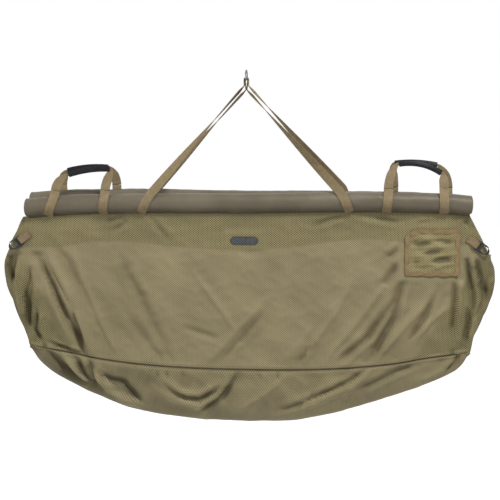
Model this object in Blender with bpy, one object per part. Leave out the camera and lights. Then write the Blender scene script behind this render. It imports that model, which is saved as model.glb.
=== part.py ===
"""A weigh sling for fish, hanging from its ring: two floating tubes, a mesh bag, straps and handles.

Metres, +Z up, +X along the tubes. The origin is where a hook bears inside the top of the ring.
"""

import math

import bmesh
import bpy
from mathutils import Vector

# Clearances
seat_gap = 0.0003
wrap_gap = 0.0004
cut_overrun = 0.004

# Ring
ring_wire = 0.0052
ring_inside_height = 0.018
ring_inside_width = 0.030
ring_corner = 0.005

# Webbing
webbing_width = 0.025
webbing_thickness = 0.0017
outer_apex_drop = 0.037
inner_apex_drop = 0.047
strap_joint_drop = 0.055
strap_anchor_half = 0.276
strap_crease_half = 0.2445
strap_crease_height = 0.034
strap_twist_dip = math.radians(18)
strap_dip_share = 0.3
strap_twist_share = 0.8
strap_slant_share = 1.06
wrap_last_angle = math.radians(-70)
hem_bend_share = 0.45

# Tubes
tube_length = 1.184
tube_diameter = 0.048
tube_gap = 0.006
tube_drop = 0.343
tube_rise = 0.0023
tube_droop = 0.0100
front_tilt = 0.008
rear_rise = 0.002
rear_tilt = 0.0015
sleeve_wall = 0.0012
hem_depth = 0.006
hem_thickness = 0.0024
end_disc_dome = 0.005
disc_profile_shares = ((0.0, 1.0), (0.25, 1.0), (0.6, 0.86), (0.88, 0.55), (1.0, 0.12))

# Handles
foot_spread = 0.150
left_handle_centre = 0.4575
right_handle_centre = 0.447
foot_wrap = math.radians(20)
handle_crease_height = 0.035
grip_length = 0.112
grip_diameter = 0.0135
grip_groove = 0.0008
front_grip_rise = 0.050
rear_grip_rise = 0.057
grip_arch = 0.004
grip_lean = 0.008
front_left_grip_shift = 0.040
front_left_grip_end_rise = 0.014
front_right_grip_shift = 0.010
front_right_grip_end_fall = 0.025
rear_foot_shift = 0.020
rear_left_grip_shift = 0.002
rear_left_grip_end_rise = 0.010
rear_right_grip_set_back = 0.016
rear_right_grip_end_fall = 0.004
grip_bore_width = 0.0084
grip_bore_height = 0.0040
grip_ribs = 12
grip_look_share = 0.02
leg_pull_share = 0.45
leg_fold_share = 0.85

# Bag
sheet_thickness = 0.0016
band_depth = 0.100
band_flare = 0.051
seam_drop = 0.424
seam_rise = 0.060
gusset_depth = 0.157
gusset_end_depth = 0.032
bag_half_depth = 0.042
bag_crown = 0.005
end_inset = 0.003
end_fold_top = 0.054
end_fold_bottom = 0.162
seam_power_share = 2.6
bottom_power_share = 2.5
corner_shares = (0.08, 0.5)

# Zips at the bag's ends
zip_radius = 0.330
zip_centre_drop = 0.172
tape_half_width = 0.011
tape_thickness = 0.0012
teeth_width = 0.0026
teeth_height = 0.0025
chain_slot = 0.0016

# Zip sliders and pulls
slider_length = 0.013
slider_width = 0.0104
slider_plate = 0.0012
slider_post = 0.0010
slider_rest_step = 0.011
slider_outline_shares = ((-1.0, 0.72), (-0.4, 1.0), (0.4, 1.0), (1.0, 0.72))
bail_wire = 0.0013
pull_length = 0.030
pull_width = 0.0072
pull_thickness = 0.0014
pull_eye_width = 0.0036
pull_eye_length = 0.0042
pull_rim = 0.0015
pull_square_share = 0.9

# Clips on webbing tabs
tab_width = 0.020
tab_length = 0.030
tab_bend = 0.0031
tab_end_inset = 0.006
tab_drop = 0.060
tab_slope = math.radians(35)
tab_split_share = 0.72
tab_sewn_share = 0.40
clip_width = 0.028
clip_length = 0.040
clip_thickness = 0.0045
clip_bar = 0.0040
clip_slot = 0.0050
clip_rim = 0.0048
gate_gap = 0.0005
gate_travel = math.radians(22)
gate_shoulder = 0.0060
gate_taper = 0.0018
gate_taper_share = 0.4

# Pocket and badge
pocket_tab_gap = 0.020
pocket_width = 0.144
pocket_top_drop = 0.038
pocket_height = 0.124
pocket_corner = 0.022
corner_inset_share = 2 - math.sqrt(2)
binding_width = 0.012
binding_thickness = 0.0026
badge_centre = -0.004
badge_drop = 0.073
badge_width = 0.074
badge_height = 0.021
badge_thickness = 0.0018

# Facets
tube_sides = 22
tube_station_shares = (0.0, 0.25, 0.5, 0.68, 0.8, 0.9, 1.0)
ring_sides = 12
ring_bow_steps = 14
ring_corner_steps = 4
strap_steps = 14
strap_loop_steps = 8
wrap_steps = 8
grip_steps = 4
leg_steps = 7
panel_columns = 10
end_columns = 3
panel_rows = 7
band_row_shares = ((0.0, 0.0), (0.5, 0.0), (1.0, 0.0), (1.0, 0.5), (1.0, 1.0))
bottom_steps = 12
zip_steps = 12
bail_steps = 8
tab_turn_steps = 8
clip_steps = 12
gate_steps = 8
badge_steps = 8
smooth_angle = math.radians(40)

# Heights and places worked out from the sizes
bar_z = -(ring_inside_height + ring_wire / 2)
tube_radius = tube_diameter / 2
tube_half = tube_length / 2
tube_y = (tube_diameter + tube_gap) / 2
tube_z = -tube_drop
hem_z = tube_z - tube_radius - hem_depth
strap_joint_z = -strap_joint_drop
strap_crease_z = tube_z + strap_crease_height
handle_crease_z = tube_z + handle_crease_height
top_z = hem_z
band_z = hem_z - band_depth
seam_z = hem_z - seam_drop
zip_centre_z = hem_z - zip_centre_drop
zip_foot_z = seam_z + seam_rise
bottom_z = seam_z - gusset_depth
bottom_rise = seam_rise + gusset_depth - gusset_end_depth
band_half = tube_half + band_flare
zip_centre_half = band_half - math.sqrt(zip_radius**2 - (band_z - zip_centre_z) ** 2)
tab_half_place = tube_half - tab_end_inset
pocket_left = tab_half_place - pocket_tab_gap - pocket_width
wrap_radius = tube_radius + wrap_gap + webbing_thickness / 2
bag_edge_y = tape_half_width + seat_gap + sheet_thickness / 2
inner_loop_radius = ring_wire / 2 + seat_gap + webbing_thickness / 2
outer_loop_radius = inner_loop_radius + webbing_thickness + seat_gap


def arc_half(z):
    """How far out the zip's arc lies at a height."""
    return zip_centre_half + math.sqrt(zip_radius**2 - (z - zip_centre_z) ** 2)


foot_half = arc_half(zip_foot_z)


def mix(a, b, share):
    return a + (b - a) * share


def ease(share):
    share = min(max(share, 0.0), 1.0)
    return share * share * (3 - 2 * share)


def curve_lift(share):
    """The tube's gentle bow: a little higher between the middle and the ends, lower at the ends."""
    return tube_rise * math.sin(math.pi * share) - tube_droop * share**6


def tube_hang(x, front):
    """How far a tube hangs out of level: the front one drops to the left, the rear one to the right."""
    if front < 0:
        return front_tilt * x / tube_half
    return rear_rise - rear_tilt * x / tube_half


def tube_bow(x):
    """The bow read between the tube's stations, so that whatever sits on the tube follows its facets."""
    share = min(abs(x) / tube_half, 1.0)
    for low, high in zip(tube_station_shares, tube_station_shares[1:]):
        if share <= high:
            return mix(curve_lift(low), curve_lift(high), (share - low) / (high - low))
    return curve_lift(1.0)


def tube_lift(x, front):
    return tube_bow(x) + tube_hang(x, front)


def bag_half(z):
    """Half the bag's width at a height, out to its end edge."""
    if z >= band_z:
        return mix(tube_half - end_inset, band_half, (top_z - z) / band_depth)
    return arc_half(max(z, zip_foot_z))


def fold_half(z):
    """Half the width of the bag's flat front at a height, out to where its end folds back."""
    share = (band_z - z) / (band_z - zip_foot_z)
    return mix(band_half - end_fold_top, foot_half - end_fold_bottom, share)


def corner_share(top):
    """How far down the band, whose edge starts at a height, the bag's end begins to fold back."""
    spare_top = fold_half(top) - bag_half(top_z)
    spare_foot = fold_half(band_z) - band_half
    return spare_top / (spare_top - spare_foot)


def bag_y(x, z):
    """How far the middle of the bag's cloth stands from the centre plane."""
    down = ease((top_z - z) / (top_z - seam_z))
    flat = mix(tube_y, bag_half_depth, down)
    reach = bag_half(z)
    fold = min(fold_half(z), reach)
    if abs(x) <= fold or fold == reach:
        return flat + bag_crown * down * (1 - (x / fold) ** 2)
    corner = mix(top_z, band_z, corner_share(top_z))
    edge = mix(flat, bag_edge_y, min(max((corner - z) / (corner - band_z), 0.0), 1.0))
    return mix(flat, edge, (abs(x) - fold) / (reach - fold))


def seam_height(x):
    return seam_z + seam_rise * (abs(x) / foot_half) ** seam_power_share


def bottom_height(x):
    return bottom_z + bottom_rise * (abs(x) / foot_half) ** bottom_power_share


def material(name, colour, roughness, metallic=0.0):
    made = bpy.data.materials.new(name)
    made.use_nodes = True
    shader = made.node_tree.nodes["Principled BSDF"]
    shader.inputs["Base Color"].default_value = (*colour, 1.0)
    shader.inputs["Roughness"].default_value = roughness
    shader.inputs["Metallic"].default_value = metallic
    return made


def add_object(name, points, faces, finish, smooth=True):
    """One closed body from points and faces, with its faces turned outward."""
    mesh = bpy.data.meshes.new(name)
    mesh.from_pydata([tuple(p) for p in points], [], faces)
    work = bmesh.new()
    work.from_mesh(mesh)
    bmesh.ops.recalc_face_normals(work, faces=work.faces)
    work.to_mesh(mesh)
    work.free()
    if smooth:
        mesh.shade_smooth()
        mesh.set_sharp_from_angle(angle=smooth_angle)
    mesh.materials.append(finish)
    made = bpy.data.objects.new(name, mesh)
    bpy.context.collection.objects.link(made)
    return made


def loft(name, rings, finish, looped=False, twisted=False):
    """A solid skinned over rings of points, capped or closed into a loop.

    A twisted strip is skinned in triangles whose diagonals run the same way on both faces.
    """
    count = len(rings[0])
    points = [p for ring in rings for p in ring]
    faces = []
    spans = len(rings) if looped else len(rings) - 1
    for i in range(spans):
        a = i * count
        b = (i + 1) % len(rings) * count
        for j in range(count):
            k = (j + 1) % count
            if twisted and j < count / 2:
                faces += [(a + j, a + k, b + k), (a + j, b + k, b + j)]
            elif twisted:
                faces += [(a + j, a + k, b + j), (a + k, b + k, b + j)]
            else:
                faces.append((a + j, a + k, b + k, b + j))
    if not looped:
        last = (len(rings) - 1) * count
        faces.append(tuple(range(count)))
        faces.append(tuple(range(last, last + count)))
    return add_object(name, points, faces, finish)


def hollow_loft(name, outer, inner, finish):
    """A wall between outer rings and inner rings, open through its middle."""
    count = len(outer[0])
    levels = len(outer)
    points = [p for ring in outer for p in ring] + [p for ring in inner for p in ring]
    start = levels * count
    faces = []
    for i in range(levels - 1):
        for j in range(count):
            k = (j + 1) % count
            a, b = i * count, (i + 1) * count
            faces.append((a + j, a + k, b + k, b + j))
            faces.append((start + a + j, start + b + j, start + b + k, start + a + k))
    for base in (0, (levels - 1) * count):
        for j in range(count):
            k = (j + 1) % count
            faces.append((base + j, base + k, start + base + k, start + base + j))
    return add_object(name, points, faces, finish)


def slab(name, front, back, finish):
    """A sheet: a front grid and a back grid of points, joined round their borders."""
    rows, columns = len(front), len(front[0])
    points = [p for row in front for p in row] + [p for row in back for p in row]
    start = rows * columns
    faces = []
    for i in range(rows - 1):
        for j in range(columns - 1):
            a = i * columns + j
            b = a + columns
            faces.append((a, a + 1, b + 1, b))
            faces.append((start + a, start + b, start + b + 1, start + a + 1))
    rim = [j for j in range(columns)]
    rim += [i * columns + columns - 1 for i in range(1, rows)]
    rim += [(rows - 1) * columns + j for j in range(columns - 2, -1, -1)]
    rim += [i * columns for i in range(rows - 2, 0, -1)]
    for a, b in zip(rim, rim[1:] + rim[:1]):
        faces.append((a, b, start + b, start + a))
    return add_object(name, points, faces, finish)


def cut(target, cutter, operation="DIFFERENCE"):
    """Cuts or joins a hidden helper, which stays in the file as a wire guide."""
    step = target.modifiers.new(cutter.name, "BOOLEAN")
    step.operation = operation
    step.solver = "EXACT"
    step.object = cutter
    cutter.hide_render = True
    cutter.display_type = "WIRE"


def make_ring(finish):
    """The D-ring: a straight bar along Y for the straps and a tall bow for the hook."""
    half = (ring_inside_width + ring_wire) / 2
    shoulder_z = bar_z + ring_corner
    crown = ring_wire / 2 - shoulder_z
    path = []
    for i in range(ring_corner_steps + 1):
        turn = math.pi / 2 * (i / ring_corner_steps - 1)
        y = half - ring_corner + ring_corner * math.cos(turn)
        path.append(Vector((0, y, shoulder_z + ring_corner * math.sin(turn))))
    for i in range(1, ring_bow_steps):
        turn = math.pi * i / ring_bow_steps
        path.append(Vector((0, half * math.cos(turn), shoulder_z + crown * math.sin(turn))))
    path += [Vector((0, -p.y, p.z)) for p in reversed(path[:ring_corner_steps + 1])]
    rings = []
    for i, centre in enumerate(path):
        along = (path[(i + 1) % len(path)] - path[i - 1]).normalized()
        side = Vector((1, 0, 0))
        out = along.cross(side)
        ring = []
        for j in range(ring_sides):
            turn = math.tau * j / ring_sides
            reach = side * math.cos(turn) + out * math.sin(turn)
            ring.append(centre + reach * (ring_wire / 2))
        rings.append(ring)
    loft("d_ring", rings, finish, looped=True)


class StrapLeg:
    """One leg of a weigh strap: from the V under the ring, twisting a quarter turn, to the tube's hem."""

    def __init__(self, side, front):
        self.side = side
        self.front = front
        self.outer = side == front
        self.drop = outer_apex_drop if self.outer else inner_apex_drop
        inner_x = webbing_thickness / 2 + seat_gap
        outer_x = outer_loop_radius
        self.apex_x = side * (outer_x if self.outer else inner_x)
        fall = tube_drop - self.drop
        reach = math.hypot(tube_y, fall)
        self.lean = math.atan2(tube_y, fall) + math.asin(wrap_radius / reach)
        self.touch_y = tube_y + wrap_radius * math.cos(self.lean)
        self.touch_z = tube_z + wrap_radius * math.sin(self.lean)
        crease_share = (strap_crease_z + self.drop) / (self.touch_z + self.drop)
        self.apex = Vector((self.apex_x, 0, -self.drop))
        crease_y = front * self.touch_y * crease_share
        self.crease = Vector((side * strap_crease_half, crease_y, strap_crease_z))
        flat = Vector((self.crease.x - self.apex.x, 0, self.crease.z - self.apex.z)).normalized()
        self.lift = Vector((side * abs(flat.z), 0, abs(flat.x)))
        self.joint_share = (strap_joint_z + self.drop) / (strap_crease_z + self.drop)

    def place(self, share):
        return self.apex.lerp(self.crease, share)

    def twist(self, share):
        dip = strap_twist_dip * math.sin(math.pi * min(share / strap_dip_share, 1.0))
        return math.radians(90) * ease(share / strap_twist_share) - dip

    def face(self, share):
        turn = self.twist(share)
        return self.lift * math.cos(turn) + Vector((0, self.side * math.sin(turn), 0))

    def head(self, steps=3):
        """The short sewn stretch from the joint's height up to the V."""
        shares = [self.joint_share * (1 - i / steps) for i in range(steps + 1)]
        return [self.place(s) for s in shares], [self.face(s) for s in shares]


def wrap_path(front, first_angle):
    """Points and outward directions round a tube's outer side and down its hem, as (y, z, face)."""
    path = []
    for i in range(wrap_steps + 1):
        turn = mix(first_angle, wrap_last_angle, i / wrap_steps)
        out = Vector((0, front * math.cos(turn), math.sin(turn)))
        path.append((front * tube_y + out.y * wrap_radius, tube_z + out.z * wrap_radius, out))
    side = Vector((0, front, 0))
    hem_y = front * (tube_y + hem_thickness / 2 + wrap_gap + webbing_thickness / 2)
    for share in (hem_bend_share, 1.0):
        path.append((hem_y, tube_z - tube_radius - hem_depth * share, side))
    return path


def make_strap_leg(name, side, front, finish):
    """The free stretch below the joint, then the stretch sewn round the tube."""
    leg = StrapLeg(side, front)
    start_share = leg.joint_share + seat_gap / (leg.apex.z - leg.crease.z)
    centres, faces, bows, hangs = [], [], [], []
    for i in range(strap_steps + 1):
        share = mix(start_share, 1.0, i / strap_steps)
        centres.append(leg.place(share))
        faces.append(leg.face(share))
        bows.append(0.0)
        hangs.append(i / strap_steps)
    rings = strip_rings(centres, faces, webbing_width, webbing_thickness)
    flatten(rings[0], centres[1] - centres[0], centres[0].z)
    wrapped = wrap_path(front, leg.lean)
    turn = 1 if leg.outer else -1
    heading = 1 if rings[-1][1].x > rings[-1][0].x else -1
    half = webbing_width / 2 * strap_slant_share
    deep = webbing_thickness / 2
    for i, (y, z, out) in enumerate(wrapped):
        share = (i + 1) / len(wrapped)
        x = side * mix(strap_crease_half, strap_anchor_half, share)
        across = Vector((half * heading, 0, 0))
        face = out * (turn * deep)
        centre = Vector((x, y, z))
        low, high = centre - face, centre + face
        rings.append([low - across, low + across, high + across, high - across])
        bows.append(1.0)
        hangs.append(1.0)
    settle(rings, bows, hangs, front)
    return loft(name, rings, finish, twisted=True)


def make_strap_loop(name, legs, loop_radius, finish):
    """A strap's head: up one leg from the joint, over the ring's bar and down the other leg."""
    left, right = legs
    left_centres, left_faces = left.head()
    right_centres, right_faces = right.head()
    centres = list(left_centres)
    faces = list(left_faces)
    for i in range(strap_loop_steps + 1):
        turn = math.pi * (1 - i / strap_loop_steps)
        out = Vector((math.cos(turn), 0, math.sin(turn)))
        centres.append(Vector((0, 0, bar_z)) + out * loop_radius)
        faces.append(out)
    centres += reversed(right_centres)
    faces += reversed(right_faces)
    rings = strip_rings(centres, faces, webbing_width, webbing_thickness)
    flatten(rings[0], centres[1] - centres[0], centres[0].z)
    flatten(rings[-1], centres[-1] - centres[-2], centres[-1].z)
    return loft(name, rings, finish, twisted=True)


def strip_rings(centres, faces, width, thickness):
    """Four corners at each point of a webbing path; width and thickness may be lists along it."""
    rings = []
    for i, centre in enumerate(centres):
        before = centres[max(i - 1, 0)]
        after = centres[min(i + 1, len(centres) - 1)]
        along = (after - before).normalized()
        face = (faces[i] - along * faces[i].dot(along)).normalized()
        across = along.cross(face)
        half = (width[i] if isinstance(width, list) else width) / 2
        deep = (thickness[i] if isinstance(thickness, list) else thickness) / 2
        corners = ((-half, -deep), (half, -deep), (half, deep), (-half, deep))
        rings.append([centre + across * u + face * v for u, v in corners])
    return rings


def flatten(ring, along, height):
    """Slides a ring's corners along its path onto a level plane, for a square-cut end."""
    for i, corner in enumerate(ring):
        ring[i] = corner + along * ((height - corner.z) / along.z)


def settle(rings, bows, hangs, front):
    """Lifts each corner by its share of the tube's bow and of the tube's hang where it lies."""
    for ring, bow, hang in zip(rings, bows, hangs):
        for i, corner in enumerate(ring):
            rise = tube_bow(corner.x) * bow + tube_hang(corner.x, front) * hang
            ring[i] = corner + Vector((0, 0, rise))


def tube_stations(half):
    shares = [-s for s in reversed(tube_station_shares[1:])] + list(tube_station_shares)
    return [half * s for s in shares]


def make_tube(prefix, front, finishes):
    """The foam core, the sleeve with its sewn hem, and a puffed disc sewn in each end."""
    foam_radius = tube_radius - sleeve_wall - seat_gap
    facing = math.asin(hem_thickness / 2 / tube_radius)
    foam_rings, outer_rings, inner_rings = [], [], []
    for x in tube_stations(tube_half):
        centre = Vector((x, front * tube_y, tube_z + tube_lift(x, front)))
        outer = []
        for j in range(tube_sides + 1):
            turn = -math.pi / 2 + facing + (math.tau - 2 * facing) * j / tube_sides
            outer.append(centre + Vector((0, math.cos(turn), math.sin(turn))) * tube_radius)
        low = -(tube_radius + hem_depth)
        outer.append(centre + Vector((0, -hem_thickness / 2, low)))
        outer.append(centre + Vector((0, hem_thickness / 2, low)))
        count = len(outer)
        outer_rings.append(outer)
        turns = [-math.pi / 2 + math.tau * (j + 1) / count for j in range(count)]
        reach = [Vector((0, math.cos(turn), math.sin(turn))) for turn in turns]
        inner_rings.append([centre + r * (tube_radius - sleeve_wall) for r in reach])
        round_turns = [math.tau * j / tube_sides for j in range(tube_sides)]
        foam = [Vector((0, math.cos(t), math.sin(t))) * foam_radius for t in round_turns]
        foam_rings.append([centre + r for r in foam])
    pieces = [
        loft(prefix + "_tube_foam", foam_rings, finishes["foam"]),
        hollow_loft(prefix + "_tube_sleeve", outer_rings, inner_rings, finishes["sleeve"]),
    ]
    disc_radius = tube_radius - sleeve_wall / 2
    face_x = tube_half + seat_gap
    for side, word in ((-1, "left"), (1, "right")):
        rings = []
        for out_share, round_share in disc_profile_shares:
            x = side * (face_x + end_disc_dome * out_share)
            lift = tube_lift(side * tube_half, front)
            centre = Vector((x, front * tube_y, tube_z + lift))
            ring = []
            for j in range(tube_sides):
                turn = math.tau * j / tube_sides
                reach = Vector((0, math.cos(turn), math.sin(turn)))
                ring.append(centre + reach * disc_radius * round_share)
            rings.append(ring)
        pieces.append(loft(prefix + "_" + word + "_end_disc", rings, finishes["sleeve"]))
    return pieces


def handle_crease_y():
    """Where the handle's webbing leaves its sewn foot, seen across the tube."""
    straight = handle_crease_height - wrap_radius * math.sin(foot_wrap)
    return tube_y + wrap_radius * math.cos(foot_wrap) - straight * math.tan(foot_wrap)


def make_handle_foot(name, x, front, finish):
    """The sewn foot of a handle: up from the hem, round the tube's outer side, to the crease."""
    centres = [Vector((x, front * handle_crease_y(), handle_crease_z))]
    faces = [Vector((0, front, 0))]
    bows = [0.0]
    for y, z, out in wrap_path(front, foot_wrap):
        centres.append(Vector((x, y, z)))
        faces.append(out)
        bows.append(1.0)
    rings = strip_rings(centres, faces, webbing_width, webbing_thickness)
    flatten(rings[0], centres[1] - centres[0], handle_crease_z)
    settle(rings, bows, [1.0] * len(rings), front)
    return loft(name, rings, finish)


def bezier(a, b, c, d, share):
    low = a.lerp(b, share).lerp(b.lerp(c, share), share)
    high = b.lerp(c, share).lerp(c.lerp(d, share), share)
    return low.lerp(high, share)


def make_handle(prefix, centre_x, front, shift, rise, end_rise, finishes):
    """A carry handle above its crease: webbing up from two feet, folded narrow through a ribbed grip."""
    start_z = handle_crease_z + seat_gap
    crease_y = front * handle_crease_y()
    grip_y = crease_y - front * grip_lean
    middle = Vector((centre_x + shift, grip_y, handle_crease_z + rise))
    along = Vector((grip_length, 0, end_rise)).normalized()
    upward = Vector((-along.z, 0, along.x))

    def grip_point(share):
        arch = grip_arch * (1 - (2 * share - 1) ** 2)
        return middle + along * (grip_length * (share - 0.5)) + upward * arch

    grip_line = [grip_point(i / grip_steps) for i in range(grip_steps + 1)]
    folded_width = grip_bore_width - wrap_gap * 2
    folded_thickness = grip_bore_height - wrap_gap * 2
    centres, widths, thicknesses = [], [], []
    for end in (-1, 1):
        foot = Vector((centre_x + end * foot_spread / 2, crease_y, start_z))
        top = grip_line[0] if end < 0 else grip_line[-1]
        pull = (top - foot).length * leg_pull_share
        out = along * (end * pull)
        leg = []
        for i in range(leg_steps):
            share = i / leg_steps
            place = bezier(foot, foot + Vector((0, 0, pull)), top + out, top, share)
            narrow = ease(share / leg_fold_share)
            width = mix(webbing_width, folded_width, narrow)
            thickness = mix(webbing_thickness, folded_thickness, narrow)
            leg.append((place, width, thickness))
        if end < 0:
            run = leg + [(p, folded_width, folded_thickness) for p in grip_line]
        else:
            run = list(reversed(leg))
        for place, width, thickness in run:
            centres.append(place)
            widths.append(width)
            thicknesses.append(thickness)
    faces = [Vector((0, front, 0))] * len(centres)
    rings = strip_rings(centres, faces, widths, thicknesses)
    flatten(rings[0], centres[1] - centres[0], start_z)
    flatten(rings[-1], centres[-1] - centres[-2], start_z)
    level_shares = [0.0] * len(rings)
    full_shares = [1.0] * len(rings)
    settle(rings, level_shares, full_shares, front)
    strap = loft(prefix + "_handle_webbing", rings, finishes["webbing"])
    outer, inner = [], []
    for i in range(grip_steps + 1):
        share = i / grip_steps
        ahead = grip_point(share + grip_look_share) - grip_point(share - grip_look_share)
        up = Vector((-ahead.z, 0, ahead.x)).normalized()
        across = Vector((0, 1, 0))
        radius = grip_diameter / 2
        if i in (0, grip_steps):
            radius -= grip_groove
        outer_ring, inner_ring = [], []
        for j in range(2 * grip_ribs):
            turn = math.tau * j / (2 * grip_ribs)
            reach = radius - grip_groove * (j % 2)
            outer_ring.append(grip_line[i] + (up * math.sin(turn) + across * math.cos(turn)) * reach)
            u = math.sin(turn)
            v = math.cos(turn)
            square = max(abs(u), abs(v))
            high = grip_bore_width / 2 * u / square
            wide = grip_bore_height / 2 * v / square
            inner_ring.append(grip_line[i] + up * high + across * wide)
        outer.append(outer_ring)
        inner.append(inner_ring)
    settle(outer, level_shares, full_shares, front)
    settle(inner, level_shares, full_shares, front)
    grip = hollow_loft(prefix + "_handle_grip", outer, inner, finishes["rubber"])
    return [strap, grip]


def column_shares(count):
    return [2 * i / count - 1 for i in range(count + 1)]


def cloth(name, front, rows, finish):
    """A sheet of the bag from rows of (x, z) places on its front or rear."""
    outer, inner = [], []
    half = sheet_thickness / 2
    for row in rows:
        outer.append([Vector((x, front * (bag_y(x, z) + half), z)) for x, z in row])
        inner.append([Vector((x, front * (bag_y(x, z) - half), z)) for x, z in row])
    return slab(name, outer, inner, finish)


def band_top(s, front):
    """The height of the band's upper edge, just under the hem, at a share of the tube's half."""
    return top_z + tube_lift(s * tube_half, front) - seat_gap


def make_mesh_band(name, front, finish):
    """The coarse mesh band that hangs from a tube's hem, out to where the bag's ends fold back."""
    shares = [-s for s in reversed(tube_station_shares[1:])] + list(tube_station_shares)
    rows = []
    for upper, lower in band_row_shares:
        row = []
        for s in shares:
            end = 1 if s > 0 else -1
            end_top = band_top(end, front)
            corner = corner_share(end_top)
            down = mix(corner * upper, 1.0, lower)
            fold = fold_half(mix(end_top, band_z, down)) - seat_gap / 2
            edge = min(bag_half(mix(top_z, band_z, down)), fold)
            row.append((s * edge, mix(band_top(s, front), band_z, down)))
        rows.append(row)
    return cloth(name, front, rows, finish)


def fold_foot_half():
    """Where the fold line meets the bottom seam, found by stepping towards it."""
    half = fold_half(seam_z)
    for _ in range(20):
        half = fold_half(seam_height(half))
    return half


def make_front_panel(name, front, finish):
    foot = fold_foot_half()
    rows = []
    for i in range(panel_rows + 1):
        row = []
        for s in column_shares(panel_columns):
            seam = seam_height(s * foot)
            z = mix(band_z - seat_gap, seam, i / panel_rows)
            edge = fold_half(z) - seat_gap / 2
            row.append((s * edge, z))
        rows.append(row)
    return cloth(name, front, rows, finish)


def make_end_panel(name, side, front, finish):
    """The folded end of the bag, from the fold line out to its edge and the zip's tape."""
    foot = fold_foot_half()
    rows = []
    end_top = band_top(side, front)
    for share in corner_shares:
        down = mix(corner_share(end_top), 1.0, share)
        z = mix(end_top, band_z, down)
        start = fold_half(z) + seat_gap / 2
        edge = bag_half(mix(top_z, band_z, down))
        row = [(side * mix(start, edge, j / end_columns), z) for j in range(end_columns + 1)]
        rows.append(row)
    for i in range(panel_rows + 1):
        row = []
        down = i / panel_rows
        fold_z = mix(band_z, seam_height(foot), down)
        zip_z = mix(band_z, zip_foot_z, down)
        for j in range(end_columns + 1):
            q = j / end_columns
            x = mix(fold_half(fold_z) + seat_gap / 2, arc_half(zip_z), q)
            seam = seam_height(mix(foot, foot_half, q))
            row.append((side * x, mix(band_z, seam, down)))
        rows.append(row)
    return cloth(name, front, rows, finish)


def make_bottom(finish):
    """The bottom gusset: a trough from the front seam round under the bag to the rear seam."""
    foot = fold_foot_half()
    places = [s * foot for s in column_shares(panel_columns)]
    ends = [mix(foot, foot_half, (j + 1) / end_columns) for j in range(end_columns)]
    places = [-x for x in reversed(ends)] + places + ends
    outer, inner = [], []
    for x in places:
        seam = seam_height(x) - seat_gap
        depth = seam - bottom_height(x)
        wide = bag_y(x, seam_height(x))
        outer_row, inner_row = [], []
        for i in range(bottom_steps + 1):
            turn = math.pi * i / bottom_steps
            across, fall = -math.cos(turn), math.sin(turn)
            for row, offset in ((outer_row, sheet_thickness / 2), (inner_row, -sheet_thickness / 2)):
                row.append(Vector((x, across * (wide + offset), seam - fall * (depth + offset))))
        outer.append(outer_row)
        inner.append(inner_row)
    return slab("bottom_gusset", outer, inner, finish)


def arc_frame(side, turn):
    """The outward and downward directions at an angle of an end zip's arc."""
    outward = Vector((side * math.cos(turn), 0, math.sin(turn)))
    downward = Vector((side * math.sin(turn), 0, -math.cos(turn)))
    return outward, downward


def arc_turn(z):
    return math.asin((z - zip_centre_z) / zip_radius)


def zip_centre(side):
    return Vector((side * zip_centre_half, 0, zip_centre_z))


def make_zip_tape(name, side, front, finish):
    """One half of an end zip: its tape with the row of teeth along the inner edge."""
    near = chain_slot / 2
    teeth = near + teeth_width
    flat, tall = tape_thickness / 2, teeth_height / 2
    wide = tape_half_width
    profile = (
        (near, -tall), (teeth, -tall), (teeth, -flat), (wide, -flat),
        (wide, flat), (teeth, flat), (teeth, tall), (near, tall),
    )
    top, foot = arc_turn(band_z - seat_gap), arc_turn(zip_foot_z)
    rings = []
    for i in range(zip_steps + 1):
        outward, _ = arc_frame(side, mix(top, foot, i / zip_steps))
        centre = zip_centre(side) + outward * zip_radius
        rings.append([centre + outward * r + Vector((0, front * y, 0)) for y, r in profile])
    return loft(name, rings, finish)


slider_turn = arc_turn(band_z - slider_rest_step)
slider_top = teeth_height / 2 + seat_gap + slider_plate
pull_pivot_height = slider_top + seat_gap + pull_rim


def pull_pivot(side):
    outward, _ = arc_frame(side, slider_turn)
    return zip_centre(side) + outward * (zip_radius + pull_pivot_height)


def make_slider(name, side, finish):
    """An end zip's slider: two plates and a post that runs between the rows of teeth, with a bail."""
    low = teeth_height / 2 + seat_gap
    high = low + slider_plate
    post = slider_post / 2
    rings = []
    for step, taper in slider_outline_shares:
        wide = slider_width / 2 * taper
        profile = (
            (-wide, -high), (wide, -high), (wide, -low), (post, -low), (post, low), (wide, low),
            (wide, high), (-wide, high), (-wide, low), (-post, low), (-post, -low), (-wide, -low),
        )
        turn = slider_turn + step * slider_length / 2 / zip_radius
        outward, _ = arc_frame(side, turn)
        centre = zip_centre(side) + outward * zip_radius
        rings.append([centre + outward * r + Vector((0, y, 0)) for y, r in profile])
    slider = loft(name, rings, finish)
    outward, downward = arc_frame(side, slider_turn)
    pivot = pull_pivot(side)
    bow = pull_rim + seat_gap + bail_wire / 2
    half = (pull_eye_width - bail_wire) / 2
    sink = pull_pivot_height - high + slider_plate / 2
    places = [(-bow, -sink)]
    for i in range(bail_steps + 1):
        turn = math.pi * i / bail_steps
        places.append((-math.cos(turn) * bow, math.sin(turn) * bow))
    places.append((bow, -sink))
    line = [pivot + downward * u + outward * v for u, v in places]
    faces = []
    for i in range(len(line)):
        along = (line[min(i + 1, len(line) - 1)] - line[max(i - 1, 0)]).normalized()
        faces.append(along.cross(Vector((0, 1, 0))))
    rings = strip_rings(line, faces, half * 2, bail_wire)
    bail = loft(name + "_bail", rings, finish)
    cut(slider, bail, "UNION")
    return slider


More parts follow.
